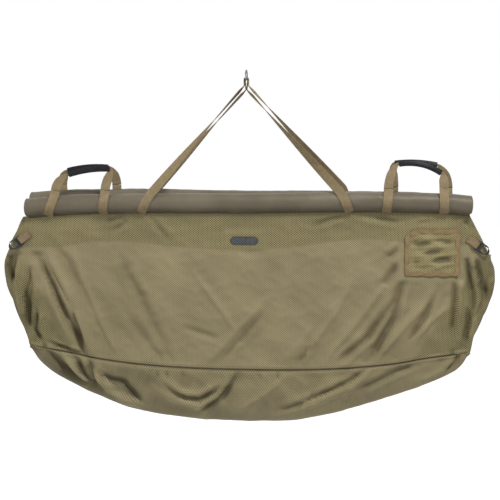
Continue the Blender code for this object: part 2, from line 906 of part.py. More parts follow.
def make_pull(name, side, finish):
    """The slider's pull: a flat tab with an eye whose end bar turns inside the bail."""
    outward, downward = arc_frame(side, slider_turn)
    pivot = pull_pivot(side)
    steps = 16
    start = -pull_rim / 2
    eye_middle = pull_rim / 2 + pull_eye_length / 2
    tab_middle = (start + pull_length) / 2
    outer, inner = [], []
    for i in range(steps):
        turn = math.tau * i / steps
        u, v = math.sin(turn), math.cos(turn)
        square = max(abs(u), abs(v))
        outer_u = pull_width / 2 * u * mix(1, 1 / square, pull_square_share)
        outer_v = (pull_length - start) / 2 * v * mix(1, 1 / square, pull_square_share)
        outer.append((outer_u, tab_middle + outer_v))
        inner.append((pull_eye_width / 2 * u / square, eye_middle + pull_eye_length / 2 * v / square))

    def level(places, height):
        return [pivot + Vector((0, u, 0)) + downward * v + outward * height for u, v in places]

    half = pull_thickness / 2
    walls = [level(outer, -half), level(outer, half)]
    holes = [level(inner, -half), level(inner, half)]
    return hollow_loft(name, walls, holes, finish)


class ClipPlace:
    """A clip's own directions: out along the tab, and across along the clip's bar."""

    def __init__(self, side):
        self.side = side
        self.along = Vector((side * math.cos(tab_slope), 0, -math.sin(tab_slope)))
        self.across = Vector((side * math.sin(tab_slope), 0, math.cos(tab_slope)))
        seat = Vector((side * tab_half_place, 0, hem_z - tab_drop))
        reaches = []
        for i in range(tab_turn_steps + 1):
            edge = seat + self.along * (tab_length * i / tab_turn_steps) - self.across * (tab_width / 2)
            reaches.append(bag_y(edge.x, edge.z))
        face_y = max(reaches) + sheet_thickness / 2 + seat_gap
        self.back_y = face_y + webbing_thickness / 2
        self.bar_y = face_y + webbing_thickness + tab_bend
        self.bar = seat + self.along * tab_length - Vector((0, self.bar_y, 0))
        self.seat = seat

    def point(self, u, v, depth=0.0):
        """A place u across, v out along the clip and so far in front of its middle."""
        return self.bar + self.across * u + self.along * v - Vector((0, depth, 0))

    def gate_pivot(self):
        return self.point(gate_half(), gate_start())


def gate_half():
    return clip_width / 2 - clip_rim / 2


def gate_start():
    return clip_bar / 2 + clip_slot + clip_rim + gate_shoulder


def gate_end():
    return clip_length - clip_rim - gate_shoulder


def make_tab(name, side, finish):
    """A webbing tab sewn to the mesh band: out, round the clip's bar and back on itself."""
    place = ClipPlace(side)
    turn_radius = tab_bend + webbing_thickness / 2
    back = place.back_y
    front = back + webbing_thickness + seat_gap
    far = place.bar_y + turn_radius
    path = [(0.0, back), (tab_length, back)]
    for i in range(1, tab_turn_steps + 1):
        turn = math.pi * i / tab_turn_steps
        y = place.bar_y - turn_radius * math.cos(turn)
        path.append((tab_length + turn_radius * math.sin(turn), y))
    path += [(tab_length * tab_split_share, far), (tab_length * tab_sewn_share, front), (0.0, front)]
    line = [place.seat + place.along * s - Vector((0, y, 0)) for s, y in path]
    faces = []
    for i in range(len(line)):
        along = (line[min(i + 1, len(line) - 1)] - line[max(i - 1, 0)]).normalized()
        faces.append(along.cross(place.across))
    rings = strip_rings(line, faces, tab_width, webbing_thickness)
    return loft(name, rings, finish)


def plate(name, place, outline, thickness, finish):
    """A flat plate of the clip from its outline, as thick as told, centred on the clip's plane."""
    depths = (-thickness / 2, thickness / 2)
    rings = [[place.point(u, v, depth) for u, v in outline] for depth in depths]
    return loft(name, rings, finish)


def oval(middle, half_wide, half_long, steps=20):
    turns = [math.tau * i / steps for i in range(steps)]
    return [(half_wide * math.cos(t), middle + half_long * math.sin(t)) for t in turns]


def make_clip(name, side, finish):
    """A snap clip: a slotted end that the tab holds, an oval hook, and a gap that its gate closes."""
    place = ClipPlace(side)
    half = clip_width / 2
    start = -clip_bar / 2
    shoulder = clip_bar / 2 + clip_slot + clip_rim
    outline = [(half - clip_bar / 2, start), (half, start + clip_bar / 2), (half, shoulder)]
    reach = clip_length + start - shoulder
    for i in range(1, clip_steps):
        turn = math.pi * i / clip_steps
        outline.append((half * math.cos(turn), shoulder + reach * math.sin(turn)))
    outline += [(-half, shoulder), (-half, start + clip_bar / 2), (-half + clip_bar / 2, start)]
    body = plate(name, place, outline, clip_thickness, finish)
    through = clip_thickness + cut_overrun
    slot_half = tab_width / 2 + webbing_thickness
    low, high = clip_bar / 2, clip_bar / 2 + clip_slot
    slot = [(slot_half, low), (slot_half, high), (-slot_half, high), (-slot_half, low)]
    cut(body, plate(name + "_slot_cutter", place, slot, through, finish))
    window_half = (reach - clip_rim) / 2
    window = oval(shoulder + window_half, half - clip_rim, window_half)
    cut(body, plate(name + "_window_cutter", place, window, through, finish))
    low, high = gate_start() - clip_rim / 2 - gate_gap, gate_end() + gate_gap
    sweep = (gate_end() - gate_start()) * math.sin(gate_travel)
    inside = half - clip_rim - sweep - gate_gap
    mouth = [(inside, low), (clip_width, low), (clip_width, high), (inside, high)]
    cut(body, plate(name + "_mouth_cutter", place, mouth, through, finish))
    return body


def make_gate(name, side, finish):
    """The clip's sprung gate: a bar with a round pivot end, closing the oval's mouth."""
    place = ClipPlace(side)
    pivot, end = gate_start(), gate_end()
    wide = clip_rim / 2 - gate_gap / 2
    middle = gate_half()
    turns = [math.pi * (1 + i / gate_steps) for i in range(gate_steps + 1)]
    outline = [(middle + wide * math.cos(t), pivot + wide * math.sin(t)) for t in turns]
    outline.append((middle + wide, mix(pivot, end, gate_taper_share)))
    outline.append((middle + wide - gate_taper, end))
    outline.append((middle - wide, end))
    return plate(name, place, outline, clip_thickness - gate_gap, finish)


def front_face_y(z):
    """The furthest that the bag's front face stands out at a height."""
    down = ease((top_z - z) / (top_z - seam_z))
    return mix(tube_y, bag_half_depth, down) + bag_crown * down + sheet_thickness / 2


def on_front(places, gap, thickness):
    """Two loops of points, at the back and the face of something that lies on the bag's front."""
    back = [Vector((x, -(front_face_y(z) + gap), z)) for x, z in places]
    face = [Vector((x, -(front_face_y(z) + gap + thickness), z)) for x, z in places]
    return back, face


def pocket_border(inset):
    """The pocket's border, set in by so much, with its upper inner corner cut off."""
    left, right = pocket_left + inset, pocket_left + pocket_width - inset
    top = hem_z - pocket_top_drop - inset
    foot = top - pocket_height + inset * 2
    corner = pocket_corner - inset * corner_inset_share
    steps = 5
    places = [(left, mix(foot, top - corner, i / steps)) for i in range(steps + 1)]
    places += [(left + corner, top), ((left + right) / 2, top)]
    places += [(right, mix(top, foot, i / steps)) for i in range(steps + 1)]
    places += [((left + right) / 2, foot)]
    return places


def make_pocket(finishes):
    outer_back, outer_face = on_front(pocket_border(0.0), seat_gap, binding_thickness)
    inner_back, inner_face = on_front(pocket_border(binding_width), seat_gap, binding_thickness)
    outer = [outer_back, outer_face]
    inner = [inner_back, inner_face]
    binding = hollow_loft("pocket_binding", outer, inner, finishes["binding"])
    inset = binding_width + seat_gap
    left = pocket_left + inset
    right = pocket_left + pocket_width - inset
    top = hem_z - pocket_top_drop - inset
    foot = top - pocket_height + inset * 2
    corner = pocket_corner - inset * corner_inset_share
    rows = 5
    back, face = [], []
    for i in range(rows + 1):
        z = mix(top, foot, i / rows)
        start = left + max(corner - (top - z), 0.0)
        row = [(mix(start, right, j / 4), z) for j in range(5)]
        low, high = on_front(row, seat_gap, sheet_thickness)
        back.append(low)
        face.append(high)
    pocket = slab("pocket_mesh", face, back, finishes["fine_mesh"])
    return [binding, pocket]


def make_badge(finish):
    """The bare badge: a plate with round ends sewn to the band."""
    round_half = badge_height / 2
    straight = badge_width / 2 - round_half
    middle = hem_z - badge_drop
    places = []
    for end in (1, -1):
        for i in range(badge_steps + 1):
            turn = math.pi * (i / badge_steps - 1 / 2) + (0 if end > 0 else math.pi)
            x = badge_centre + end * straight + round_half * math.cos(turn)
            places.append((x, middle + round_half * math.sin(turn)))
    back, face = on_front(places, seat_gap, badge_thickness)
    return loft("badge", [back, face], finish)


def pivot_at(name, place, parent=None):
    """An empty on a joint's axis, which carries what moves there."""
    empty = bpy.data.objects.new(name, None)
    bpy.context.collection.objects.link(empty)
    empty.location = place
    empty["place"] = list(place)
    if parent:
        empty.parent = parent
        empty.location = Vector(place) - Vector(parent["place"])
    print(name, [round(value, 5) for value in place])
    return empty


def carry(empty, pieces):
    """Hangs pieces on an empty without moving them."""
    for piece in pieces:
        piece.parent = empty
        piece.location = -Vector(empty["place"])


def strap_pivot_y(legs):
    """The outer edge of a pair of legs at the joint's height, where they can fold out freely."""
    reach = 0.0
    for leg in legs:
        centre = leg.place(leg.joint_share)
        half = webbing_width / 2 * math.cos(leg.twist(leg.joint_share))
        reach = max(reach, abs(centre.y) + half)
    return reach + webbing_thickness / 2


def main():
    for old in list(bpy.data.objects):
        bpy.data.objects.remove(old)
    finishes = {
        "steel": material("polished_steel", (0.62, 0.62, 0.63), 0.25, 1.0),
        "webbing": material("tan_webbing", (0.30, 0.235, 0.14), 0.85),
        "sleeve": material("sleeve_cloth", (0.21, 0.185, 0.145), 0.9),
        "foam": material("white_foam", (0.75, 0.74, 0.70), 0.95),
        "rubber": material("black_rubber", (0.03, 0.03, 0.03), 0.6),
        "coarse_mesh": material("coarse_mesh", (0.13, 0.12, 0.085), 0.9),
        "fine_mesh": material("fine_mesh", (0.24, 0.22, 0.15), 0.9),
        "tape": material("zip_tape", (0.10, 0.09, 0.06), 0.8),
        "plastic": material("black_plastic", (0.03, 0.03, 0.035), 0.4),
        "slider": material("slider_metal", (0.08, 0.08, 0.09), 0.35, 1.0),
        "binding": material("binding_tape", (0.23, 0.17, 0.12), 0.85),
        "badge": material("badge_rubber", (0.10, 0.115, 0.12), 0.5),
    }
    make_ring(finishes["steel"])
    bar = pivot_at("ring_bar", Vector((0, 0, bar_z)))
    legs = {(side, front): StrapLeg(side, front) for side in (-1, 1) for front in (-1, 1)}
    grips = {
        "front_left": (front_left_grip_shift, front_left_grip_end_rise),
        "front_right": (front_right_grip_shift, -front_right_grip_end_fall),
        "rear_left": (rear_left_grip_shift, rear_left_grip_end_rise),
        "rear_right": (-rear_right_grip_set_back, -rear_right_grip_end_fall),
    }
    inner_legs = (legs[-1, 1], legs[1, -1])
    outer_legs = (legs[-1, -1], legs[1, 1])
    still = [
        make_strap_loop("inner_strap_loop", inner_legs, inner_loop_radius, finishes["webbing"]),
        make_strap_loop("outer_strap_loop", outer_legs, outer_loop_radius, finishes["webbing"]),
        make_bottom(finishes["fine_mesh"]),
    ]
    for front, word in ((-1, "front"), (1, "rear")):
        still.append(make_front_panel(word + "_panel", front, finishes["fine_mesh"]))
        for side, end in ((-1, "left"), (1, "right")):
            stem = end + "_" + word
            still.append(make_end_panel(stem + "_end_panel", side, front, finishes["fine_mesh"]))
            still.append(make_zip_tape(stem + "_zip_tape", side, front, finishes["tape"]))
    carry(bar, still)
    for front, word in ((-1, "front"), (1, "rear")):
        pair = (legs[-1, front], legs[1, front])
        pivot_place = Vector((0, front * strap_pivot_y(pair), strap_joint_z))
        pivot = pivot_at(word + "_joint", pivot_place, bar)
        moving = make_tube(word, front, finishes)
        moving.append(make_mesh_band(word + "_mesh_band", front, finishes["coarse_mesh"]))
        for side, end in ((-1, "left"), (1, "right")):
            stem = word + "_" + end
            moving.append(make_strap_leg(stem + "_strap", side, front, finishes["webbing"]))
            centre_x = side * (left_handle_centre if side < 0 else right_handle_centre)
            centre_x += rear_foot_shift if front > 0 else 0.0
            for inner, which in ((-1, "outer"), (1, "inner")):
                x = centre_x - side * inner * foot_spread / 2
                foot_name = stem + "_handle_foot_" + which
                moving.append(make_handle_foot(foot_name, x, front, finishes["webbing"]))
            shift, end_rise = grips[stem]
            hinge_y = handle_crease_y() + webbing_thickness / 2 + seat_gap
            hinge_z = handle_crease_z + tube_hang(centre_x, front)
            hinge = pivot_at(stem + "_handle_hinge", Vector((centre_x, front * hinge_y, hinge_z)), pivot)
            rise = front_grip_rise if front < 0 else rear_grip_rise
            carry(hinge, make_handle(stem, centre_x, front, shift, rise, end_rise, finishes))
        if front < 0:
            moving += make_pocket(finishes)
            moving.append(make_badge(finishes["badge"]))
            for side, end in ((-1, "left"), (1, "right")):
                moving.append(make_tab(end + "_clip_tab", side, finishes["webbing"]))
                place = ClipPlace(side)
                swing = pivot_at(end + "_clip_bar", place.bar, pivot)
                carry(swing, [make_clip(end + "_clip_body", side, finishes["plastic"])])
                gate = pivot_at(end + "_gate_pin", place.gate_pivot(), swing)
                carry(gate, [make_gate(end + "_clip_gate", side, finishes["plastic"])])
        carry(pivot, moving)
    for side, end in ((-1, "left"), (1, "right")):
        centre = pivot_at(end + "_zip_centre", zip_centre(side), bar)
        carry(centre, [make_slider(end + "_zip_slider", side, finishes["slider"])])
        eye = pivot_at(end + "_pull_eye", pull_pivot(side), centre)
        carry(eye, [make_pull(end + "_zip_pull", side, finishes["slider"])])


main()
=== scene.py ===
# %% [markdown]
# # A weigh sling for fish
#
# The sling hangs from a steel D-ring. Two webbing straps run from the ring to two long floating tubes,
# and the mesh bag hangs between the tubes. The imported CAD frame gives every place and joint. This lesson
# dresses that frame: real cloth with folds, sewn webbing, ribbed grips, a zip at each end and soft light.
# Lengths are metres, +X runs along the tubes, the front is at -Y and +Z is up.

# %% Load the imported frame
import math

import bmesh
import bpy
import numpy as np
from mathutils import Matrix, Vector


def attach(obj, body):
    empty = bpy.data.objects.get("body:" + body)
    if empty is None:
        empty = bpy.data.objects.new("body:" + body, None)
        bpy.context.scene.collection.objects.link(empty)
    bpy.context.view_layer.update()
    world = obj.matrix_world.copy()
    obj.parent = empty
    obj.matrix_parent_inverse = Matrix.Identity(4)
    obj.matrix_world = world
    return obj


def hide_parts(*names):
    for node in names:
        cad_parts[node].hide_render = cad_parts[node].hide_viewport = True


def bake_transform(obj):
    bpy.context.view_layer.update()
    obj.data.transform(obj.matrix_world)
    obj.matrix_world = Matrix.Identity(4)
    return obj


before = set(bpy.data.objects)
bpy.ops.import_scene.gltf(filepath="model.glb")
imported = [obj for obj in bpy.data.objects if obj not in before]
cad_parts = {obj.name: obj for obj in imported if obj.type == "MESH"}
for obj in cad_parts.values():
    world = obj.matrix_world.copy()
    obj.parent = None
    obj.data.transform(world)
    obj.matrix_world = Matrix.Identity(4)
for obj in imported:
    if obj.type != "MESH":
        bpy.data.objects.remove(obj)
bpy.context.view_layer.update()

# %% [markdown]
# ## Camera
#
# The photo looks taken from a little right of the sling's middle and a little above the tubes, because a
# strip of the rear tube shows over the front one. A long lens from three metres gives much the same view.

# %% Camera
camera_turn = math.radians(4)
camera_rise = math.radians(9)
camera_distance = 3.0
camera_target = Vector((0.0095, 0.0, -0.4755))

lens = bpy.data.cameras.new("photo_camera")
lens.lens = 80
lens.sensor_width = 36
camera = bpy.data.objects.new("photo_camera", lens)
bpy.context.collection.objects.link(camera)
reach = Vector(
    (
        math.sin(camera_turn) * math.cos(camera_rise),
        -math.cos(camera_turn) * math.cos(camera_rise),
        math.sin(camera_rise),
    )
)
camera.location = camera_target + reach * camera_distance
camera.rotation_euler = (-reach).to_track_quat("-Z", "Y").to_euler()
bpy.context.scene.camera = camera
print("camera at", [round(v, 3) for v in camera.location])

# %% [markdown]
# ## Sizes shared with the CAD
#
# The cloth has to land on the same tubes, seams and zips as the solids, so these are the CAD's own sizes.
# The tubes, the seams and the zips below are worked out from them. The domed ends of the tubes and the
# thickness of the cloth are the scene's own.

# %% Sizes
bar_z = -0.0206
ring_wire = 0.0052
ring_inside = 0.030
seat_gap = 0.0003
webbing_width = 0.025
webbing_thickness = 0.0017
tube_half = 0.592
tube_radius = 0.024
tube_y = 0.027
tube_z = -0.343
tube_rise = 0.0023
tube_droop = 0.0100
front_tilt = 0.008
rear_rise = 0.002
rear_tilt = 0.0015
hem_depth = 0.006
top_z = tube_z - tube_radius - hem_depth
end_inset = 0.003
hem_half = tube_half - end_inset
end_dome = 0.0053
band_depth = 0.100
band_z = top_z - band_depth
seam_drop = 0.424
seam_z = top_z - seam_drop
seam_rise = 0.060
zip_foot_z = seam_z + seam_rise
gusset_depth = 0.157
bottom_z = seam_z - gusset_depth
zip_radius = 0.330
zip_centre_drop = 0.172
zip_centre_z = top_z - zip_centre_drop
band_flare = 0.051
band_half = tube_half + band_flare
zip_centre_half = band_half - math.sqrt(zip_radius**2 - (band_z - zip_centre_z) ** 2)
bag_half_depth = 0.042
bag_crown = 0.005
edge_y = 0.0121
cad_sheet_half = 0.0008
cloth_thickness = 0.0009
foot_half_spread = 0.075
tab_width = 0.020
tab_end_inset = 0.006
binding_width = 0.012
wrap_gap = 0.0004
wrap_radius = tube_radius + wrap_gap + webbing_thickness / 2
station_shares = np.array([0.0, 0.25, 0.5, 0.68, 0.8, 0.9, 1.0])


def mix(a, b, share):
    return a + (b - a) * share


def ease(low, high, value):
    """A smooth step from 0 at low to 1 at high."""
    share = np.clip((np.asarray(value, float) - low) / (high - low), 0.0, 1.0)
    return share * share * (3 - 2 * share)


def tube_bow(x):
    """The gentle bow of a tube, read between the CAD's stations."""
    levels = tube_rise * np.sin(np.pi * station_shares) - tube_droop * station_shares**6
    return np.interp(np.abs(x) / tube_half, station_shares, levels)


def tube_hang(x, front):
    return front_tilt * x / tube_half if front < 0 else rear_rise - rear_tilt * x / tube_half


def arc_half(z):
    return zip_centre_half + np.sqrt(np.maximum(zip_radius**2 - (z - zip_centre_z) ** 2, 0))


foot_half = float(arc_half(zip_foot_z))


def bag_half(z):
    upper = mix(hem_half, band_half, np.clip((top_z - z) / band_depth, 0, 1))
    return np.where(z >= band_z, upper, arc_half(np.maximum(z, zip_foot_z)))


def fold_half(z):
    share = (band_z - z) / (band_z - zip_foot_z)
    return mix(band_half - 0.054, foot_half - 0.162, share)


spare_top = float(fold_half(top_z)) - hem_half
spare_foot = float(fold_half(band_z)) - band_half
corner_share = spare_top / (spare_top - spare_foot)


def bag_y(x, z):
    """How far the cloth stands from the centre plane, without its folds."""
    down = ease(0, 1, (top_z - z) / (top_z - seam_z))
    flat = mix(tube_y, bag_half_depth, down)
    outer = bag_half(z)
    fold = np.minimum(fold_half(z), outer - 1e-6)
    middle = flat + bag_crown * down * (1 - (x / fold) ** 2)
    corner = mix(top_z, band_z, corner_share)
    edge = mix(flat, edge_y, np.clip((corner - z) / (corner - band_z), 0, 1))
    edge = np.where(z >= band_z, edge, edge_y)
    out = np.clip((np.abs(x) - fold) / (outer - fold), 0, 1)
    return np.where(np.abs(x) <= fold, middle, mix(flat, edge, out))


def seam_height(x):
    return seam_z + seam_rise * (np.abs(x) / foot_half) ** 2.6


print("bag is", round(2 * foot_half, 3), "m wide at the seam and", round(top_z - bottom_z, 3), "m deep")

# %% [markdown]
# ## Materials
#
# Every finish is a small node tree. The cloths have a weave in real sizes, slow variation for wear and a
# bump that follows the weave, and the plain finishes have a fine grain. The mesh is woven in diamonds whose
# open holes are painted dark, as painted shade for the dim inside of the bag. A lighter liner lies behind it
# below the wavy line, and there the holes are paler: the liner's own colour with painted shade on it. The bag
# cloth also carries painted shade in its fold valleys and a painted highlight on its ridges.


# %% Node helpers
class Tree:
    """Adds nodes to a material with their inputs given by name."""

    def __init__(self, name):
        self.material = bpy.data.materials.new(name)
        self.material.use_nodes = True
        self.tree = self.material.node_tree
        self.shader = self.tree.nodes["Principled BSDF"]

    def add(self, kind, inputs=None, **settings):
        node = self.tree.nodes.new("ShaderNode" + kind)
        for key, value in settings.items():
            setattr(node, key, value)
        for key, value in (inputs or {}).items():
            self.put(node.inputs[key], value)
        return node

    def put(self, socket, value):
        if isinstance(value, bpy.types.NodeSocket):
            self.tree.links.new(value, socket)
        elif isinstance(value, tuple) and len(value) == 3 and len(socket.default_value) == 4:
            socket.default_value = (*value, 1.0)
        else:
            socket.default_value = value

    def math(self, operation, a, b=0.0):
        return self.add("Math", {0: a, 1: b}, operation=operation).outputs[0]

    def noise(self, place, scale, detail=3.0, kind="FBM", distortion=0.0):
        made = self.add(
            "TexNoise", {"Vector": place, "Scale": scale, "Detail": detail, "Distortion": distortion}
        )
        made.noise_type = kind
        return made.outputs[0]

    def blend(self, share, a, b):
        made = self.add("Mix", {0: share, 6: a, 7: b}, data_type="RGBA")
        return made.outputs[2]

    def span(self, value, low, high, to_low=0.0, to_high=1.0):
        names = ("Value", "From Min", "From Max", "To Min", "To Max")
        made = self.add("MapRange", dict(zip(names, (value, low, high, to_low, to_high))))
        made.interpolation_type = "SMOOTHSTEP"
        return made.outputs[0]

    def bump(self, height, distance, strength=1.0, normal=None):
        inputs = {"Height": height, "Distance": distance, "Strength": strength}
        if normal is not None:
            inputs["Normal"] = normal
        return self.add("Bump", inputs).outputs[0]

    def uv(self):
        parts = self.add("SeparateXYZ", {0: self.add("UVMap").outputs[0]})
        return parts.outputs[0], parts.outputs[1]

    def point(self):
        return self.add("TexCoord").outputs["Object"]

    def finish(self, **inputs):
        for key, value in inputs.items():
            self.put(self.shader.inputs[key.replace("_", " ")], value)
        return self.material


# %% Bag mesh
def diamond(tree, u, v, wide, tall):
    """Open holes of a diamond mesh: 1 in a hole, 0 on a thread."""
    across = tree.math("DIVIDE", u, wide / math.pi)
    along = tree.math("DIVIDE", v, tall / math.pi)
    one = tree.math("COSINE", tree.math("ADD", across, along))
    two = tree.math("COSINE", tree.math("SUBTRACT", across, along))
    return tree.span(tree.math("ABSOLUTE", tree.math("MULTIPLY", one, two)), 0.25, 0.75)


def bag_material(name, thread, hole, lined_thread, lined_hole):
    tree = Tree(name)
    u, v = tree.uv()
    place = tree.point()
    shift = tree.math("MULTIPLY", tree.noise(place, 30.0, 2.0), 0.0016)
    u = tree.math("ADD", u, shift)
    liner = tree.add("Attribute", attribute_name="liner").outputs["Fac"]
    crease = tree.add("Attribute", attribute_name="crease").outputs["Fac"]
    open_mesh = diamond(tree, u, v, 0.0070, 0.0060)
    lined_mesh = diamond(tree, u, v, 0.0068, 0.0056)
    wear = tree.span(tree.noise(place, 7.0, 5.0), 0.3, 0.7)
    # The hole colours are painted shade: the dim inside of the bag seen through the open holes. Lined holes
    # are the liner's own colour with painted shade on it.
    open_look = tree.blend(open_mesh, thread, hole)
    lined_look = tree.blend(lined_mesh, lined_thread, lined_hole)
    look = tree.blend(liner, open_look, lined_look)
    darker = tree.add("HueSaturation", {"Value": 0.86, "Color": look}).outputs[0]
    look = tree.blend(wear, darker, look)
    # Painted shade: the colour is darkened to 42 percent where the crease attribute is above 0, in fold
    # valleys. Painted highlight: it is brightened where the attribute is below 0, on fold ridges.
    deep = tree.add("HueSaturation", {"Value": 0.42, "Color": look}).outputs[0]
    painted_ridge_highlight = tree.add("HueSaturation", {"Value": 1.38, "Saturation": 0.94, "Color": look}).outputs[0]
    look = tree.blend(tree.span(crease, -1.0, 0.0, 1.0, 0.0), look, painted_ridge_highlight)
    look = tree.blend(tree.span(crease, 0.0, 1.0), look, deep)
    rough = tree.noise(place, 16.0, 6.0, "RIDGED_MULTIFRACTAL", 0.4)
    weave = tree.math("MULTIPLY", tree.math("ADD", open_mesh, lined_mesh), -0.5)
    normal = tree.bump(weave, 0.0006, 0.45)
    normal = tree.bump(rough, 0.0022, 0.5, normal)
    return tree.finish(Base_Color=look, Roughness=0.52, Specular_IOR_Level=0.22, Normal=normal)


# The dark hole colours here are painted shade for the inside of the bag seen through the holes.
bag_finish = bag_material(
    "bag_mesh_weave",
    thread=(0.385, 0.328, 0.168),
    hole=(0.080, 0.070, 0.028),
    lined_thread=(0.395, 0.334, 0.186),
    lined_hole=(0.205, 0.171, 0.091),
)
# The pocket's dark hole colour is painted shade for the cloth behind it, seen through the holes.
pocket_thread = (0.40, 0.34, 0.165)
pocket_hole = (0.12, 0.098, 0.042)
pocket_finish = bag_material("pocket_mesh_weave", pocket_thread, pocket_hole, pocket_thread, pocket_hole)


# %% Sleeve, webbing and small finishes
def sleeve_material():
    tree = Tree("sleeve_satin")
    place = tree.point()
    u, v = tree.uv()
    threads = tree.math("MULTIPLY", tree.math("SINE", tree.math("MULTIPLY", u, 4200.0)), 0.5)
    picks = tree.math("MULTIPLY", tree.math("SINE", tree.math("MULTIPLY", v, 5200.0)), 0.5)
    weave = tree.math("ADD", threads, picks)
    wear = tree.span(tree.noise(place, 11.0, 5.0), 0.3, 0.75)
    look = tree.blend(wear, (0.142, 0.119, 0.080), (0.192, 0.162, 0.112))
    normal = tree.bump(weave, 0.0002, 0.25)
    normal = tree.bump(tree.noise(place, 34.0, 6.0, "RIDGED_MULTIFRACTAL"), 0.0009, 0.5, normal)
    return tree.finish(Base_Color=look, Roughness=0.42, Specular_IOR_Level=0.30, Normal=normal)


def webbing_material(name, light, dark, wide=webbing_width):
    """Flat woven webbing: fine warp ribs along it, a chevron across it, darker edges and worn patches."""
    tree = Tree(name)
    u, v = tree.uv()
    place = tree.point()
    ribs = tree.math("ABSOLUTE", tree.math("SINE", tree.math("MULTIPLY", u, math.pi / 0.0019)))
    zig = tree.math("PINGPONG", u, 0.0019)
    step = tree.math("SINE", tree.math("MULTIPLY", tree.math("ADD", v, zig), math.tau / 0.0021))
    weave = tree.math("ADD", ribs, tree.math("MULTIPLY", step, 0.35))
    edge = tree.span(tree.math("ABSOLUTE", u), wide / 2 - 0.0022, wide / 2)
    wear = tree.span(tree.noise(place, 60.0, 5.0), 0.35, 0.7)
    look = tree.blend(tree.span(weave, 0.1, 1.1), dark, light)
    look = tree.blend(tree.math("MULTIPLY", edge, 0.5), look, dark)
    worn = tree.add("HueSaturation", {"Value": 0.84, "Color": look}).outputs[0]
    look = tree.blend(wear, worn, look)
    normal = tree.bump(weave, 0.0003, 0.6)
    return tree.finish(Base_Color=look, Roughness=0.75, Specular_IOR_Level=0.15, Normal=normal)


def plain_material(name, light, dark, roughness, metallic=0.0, scale=60.0, shine=0.3):
    tree = Tree(name)
    place = tree.point()
    share = tree.span(tree.noise(place, scale, 5.0), 0.35, 0.7)
    look = tree.blend(share, dark, light)
    rough = tree.span(tree.noise(place, scale * 2.5, 4.0), 0.3, 0.7, roughness * 0.85, roughness * 1.15)
    normal = tree.bump(tree.noise(place, scale * 12, 3.0), 0.0002, 0.4)
    shine = {"Specular IOR Level": shine, "Metallic": metallic}
    return tree.finish(Base_Color=look, Roughness=rough, Normal=normal, **shine)


sleeve_finish = sleeve_material()
webbing_finish = webbing_material("tan_webbing_weave", (0.42, 0.325, 0.19), (0.235, 0.178, 0.098))
tape_finish = webbing_material("zip_tape_weave", (0.20, 0.17, 0.10), (0.12, 0.10, 0.055), 0.011)
tab_finish = webbing_material("tab_webbing_weave", (0.38, 0.275, 0.165), (0.23, 0.162, 0.095), tab_width)
binding_finish = webbing_material(
    "binding_tape_weave", (0.40, 0.285, 0.15), (0.26, 0.18, 0.09), binding_width
)
thread_finish = plain_material("tan_thread", (0.44, 0.36, 0.22), (0.33, 0.26, 0.15), 0.7, scale=300.0)
dark_thread_finish = plain_material("dark_thread", (0.15, 0.12, 0.07), (0.10, 0.08, 0.05), 0.8, scale=300.0)
rubber_finish = plain_material(
    "grip_rubber", (0.013, 0.013, 0.017), (0.006, 0.006, 0.009), 0.35, scale=90.0, shine=0.22
)
steel_finish = plain_material("ring_steel", (0.30, 0.30, 0.31), (0.16, 0.16, 0.17), 0.30, 1.0, 120.0)
plastic_finish = plain_material(
    "clip_plastic", (0.040, 0.044, 0.056), (0.022, 0.024, 0.032), 0.38, scale=80.0
)
slider_finish = plain_material("slider_metal", (0.11, 0.11, 0.12), (0.06, 0.06, 0.07), 0.35, 1.0, 150.0)
badge_finish = plain_material("badge_slate", (0.085, 0.092, 0.098), (0.062, 0.068, 0.074), 0.42, scale=120.0)
rim_finish = plain_material("badge_rim", (0.030, 0.033, 0.036), (0.020, 0.022, 0.025), 0.4, scale=120.0)
teeth_finish = plain_material("zip_teeth", (0.14, 0.12, 0.075), (0.085, 0.07, 0.045), 0.4, scale=200.0)
print("materials:", len(bpy.data.materials))

# %% [markdown]
# ## Building blocks
#
# Three helpers build nearly everything: a grid of points skinned into cloth, a ribbon swept along a path
# with rounded selvedges for the webbing, and a bake step that turns modifiers into a plain mesh.


# %% Mesh helpers
def mesh_object(name, points, faces, finishes, uv=None, values=None, smooth=True, edges=()):
    mesh = bpy.data.meshes.new(name)
    mesh.from_pydata([tuple(map(float, p)) for p in points], list(edges), faces)
    if uv is not None:
        layer = mesh.uv_layers.new(name="UVMap")
        corner = np.empty(len(mesh.loops), int)
        mesh.loops.foreach_get("vertex_index", corner)
        layer.data.foreach_set("uv", np.asarray(uv, np.float32)[corner].ravel())
    for key, value in (values or {}).items():
        made = mesh.attributes.new(key, "FLOAT", "POINT")
        made.data.foreach_set("value", np.asarray(value, np.float32).ravel())
    for finish in finishes if isinstance(finishes, list) else [finishes]:
        mesh.materials.append(finish)
    made = bpy.data.objects.new(name, mesh)
    bpy.context.collection.objects.link(made)
    if smooth and faces:
        mesh.shade_smooth()
    return made


def bake(obj):
    """Turns an object's modifiers into a plain mesh and removes them."""
    depsgraph = bpy.context.evaluated_depsgraph_get()
    plain = bpy.data.meshes.new_from_object(obj.evaluated_get(depsgraph))
    obj.modifiers.clear()
    obj.data = plain
    return obj


def thicken(obj, thickness):
    step = obj.modifiers.new("thickness", "SOLIDIFY")
    step.thickness = thickness
    step.offset = 0.0
    bake(obj)


def grid_faces(rows, columns, flip=False, looped=False):
    faces = []
    spans = columns if looped else columns - 1
    for i in range(rows - 1):
        for j in range(spans):
            k = (j + 1) % columns
            quad = (i * columns + j, i * columns + k, (i + 1) * columns + k, (i + 1) * columns + j)
            faces.append(quad[::-1] if flip else quad)
    return faces


def turn_outward(obj):
    work = bmesh.new()
    work.from_mesh(obj.data)
    bmesh.ops.recalc_face_normals(work, faces=work.faces)
    work.to_mesh(obj.data)
    work.free()
    return obj


def grid_normals(points):
    """Unit normals of a grid of points, from its two directions."""
    along = np.gradient(points, axis=1)
    down = np.gradient(points, axis=0)
    normal = np.cross(along, down)
    return normal / np.maximum(np.linalg.norm(normal, axis=2, keepdims=True), 1e-12)


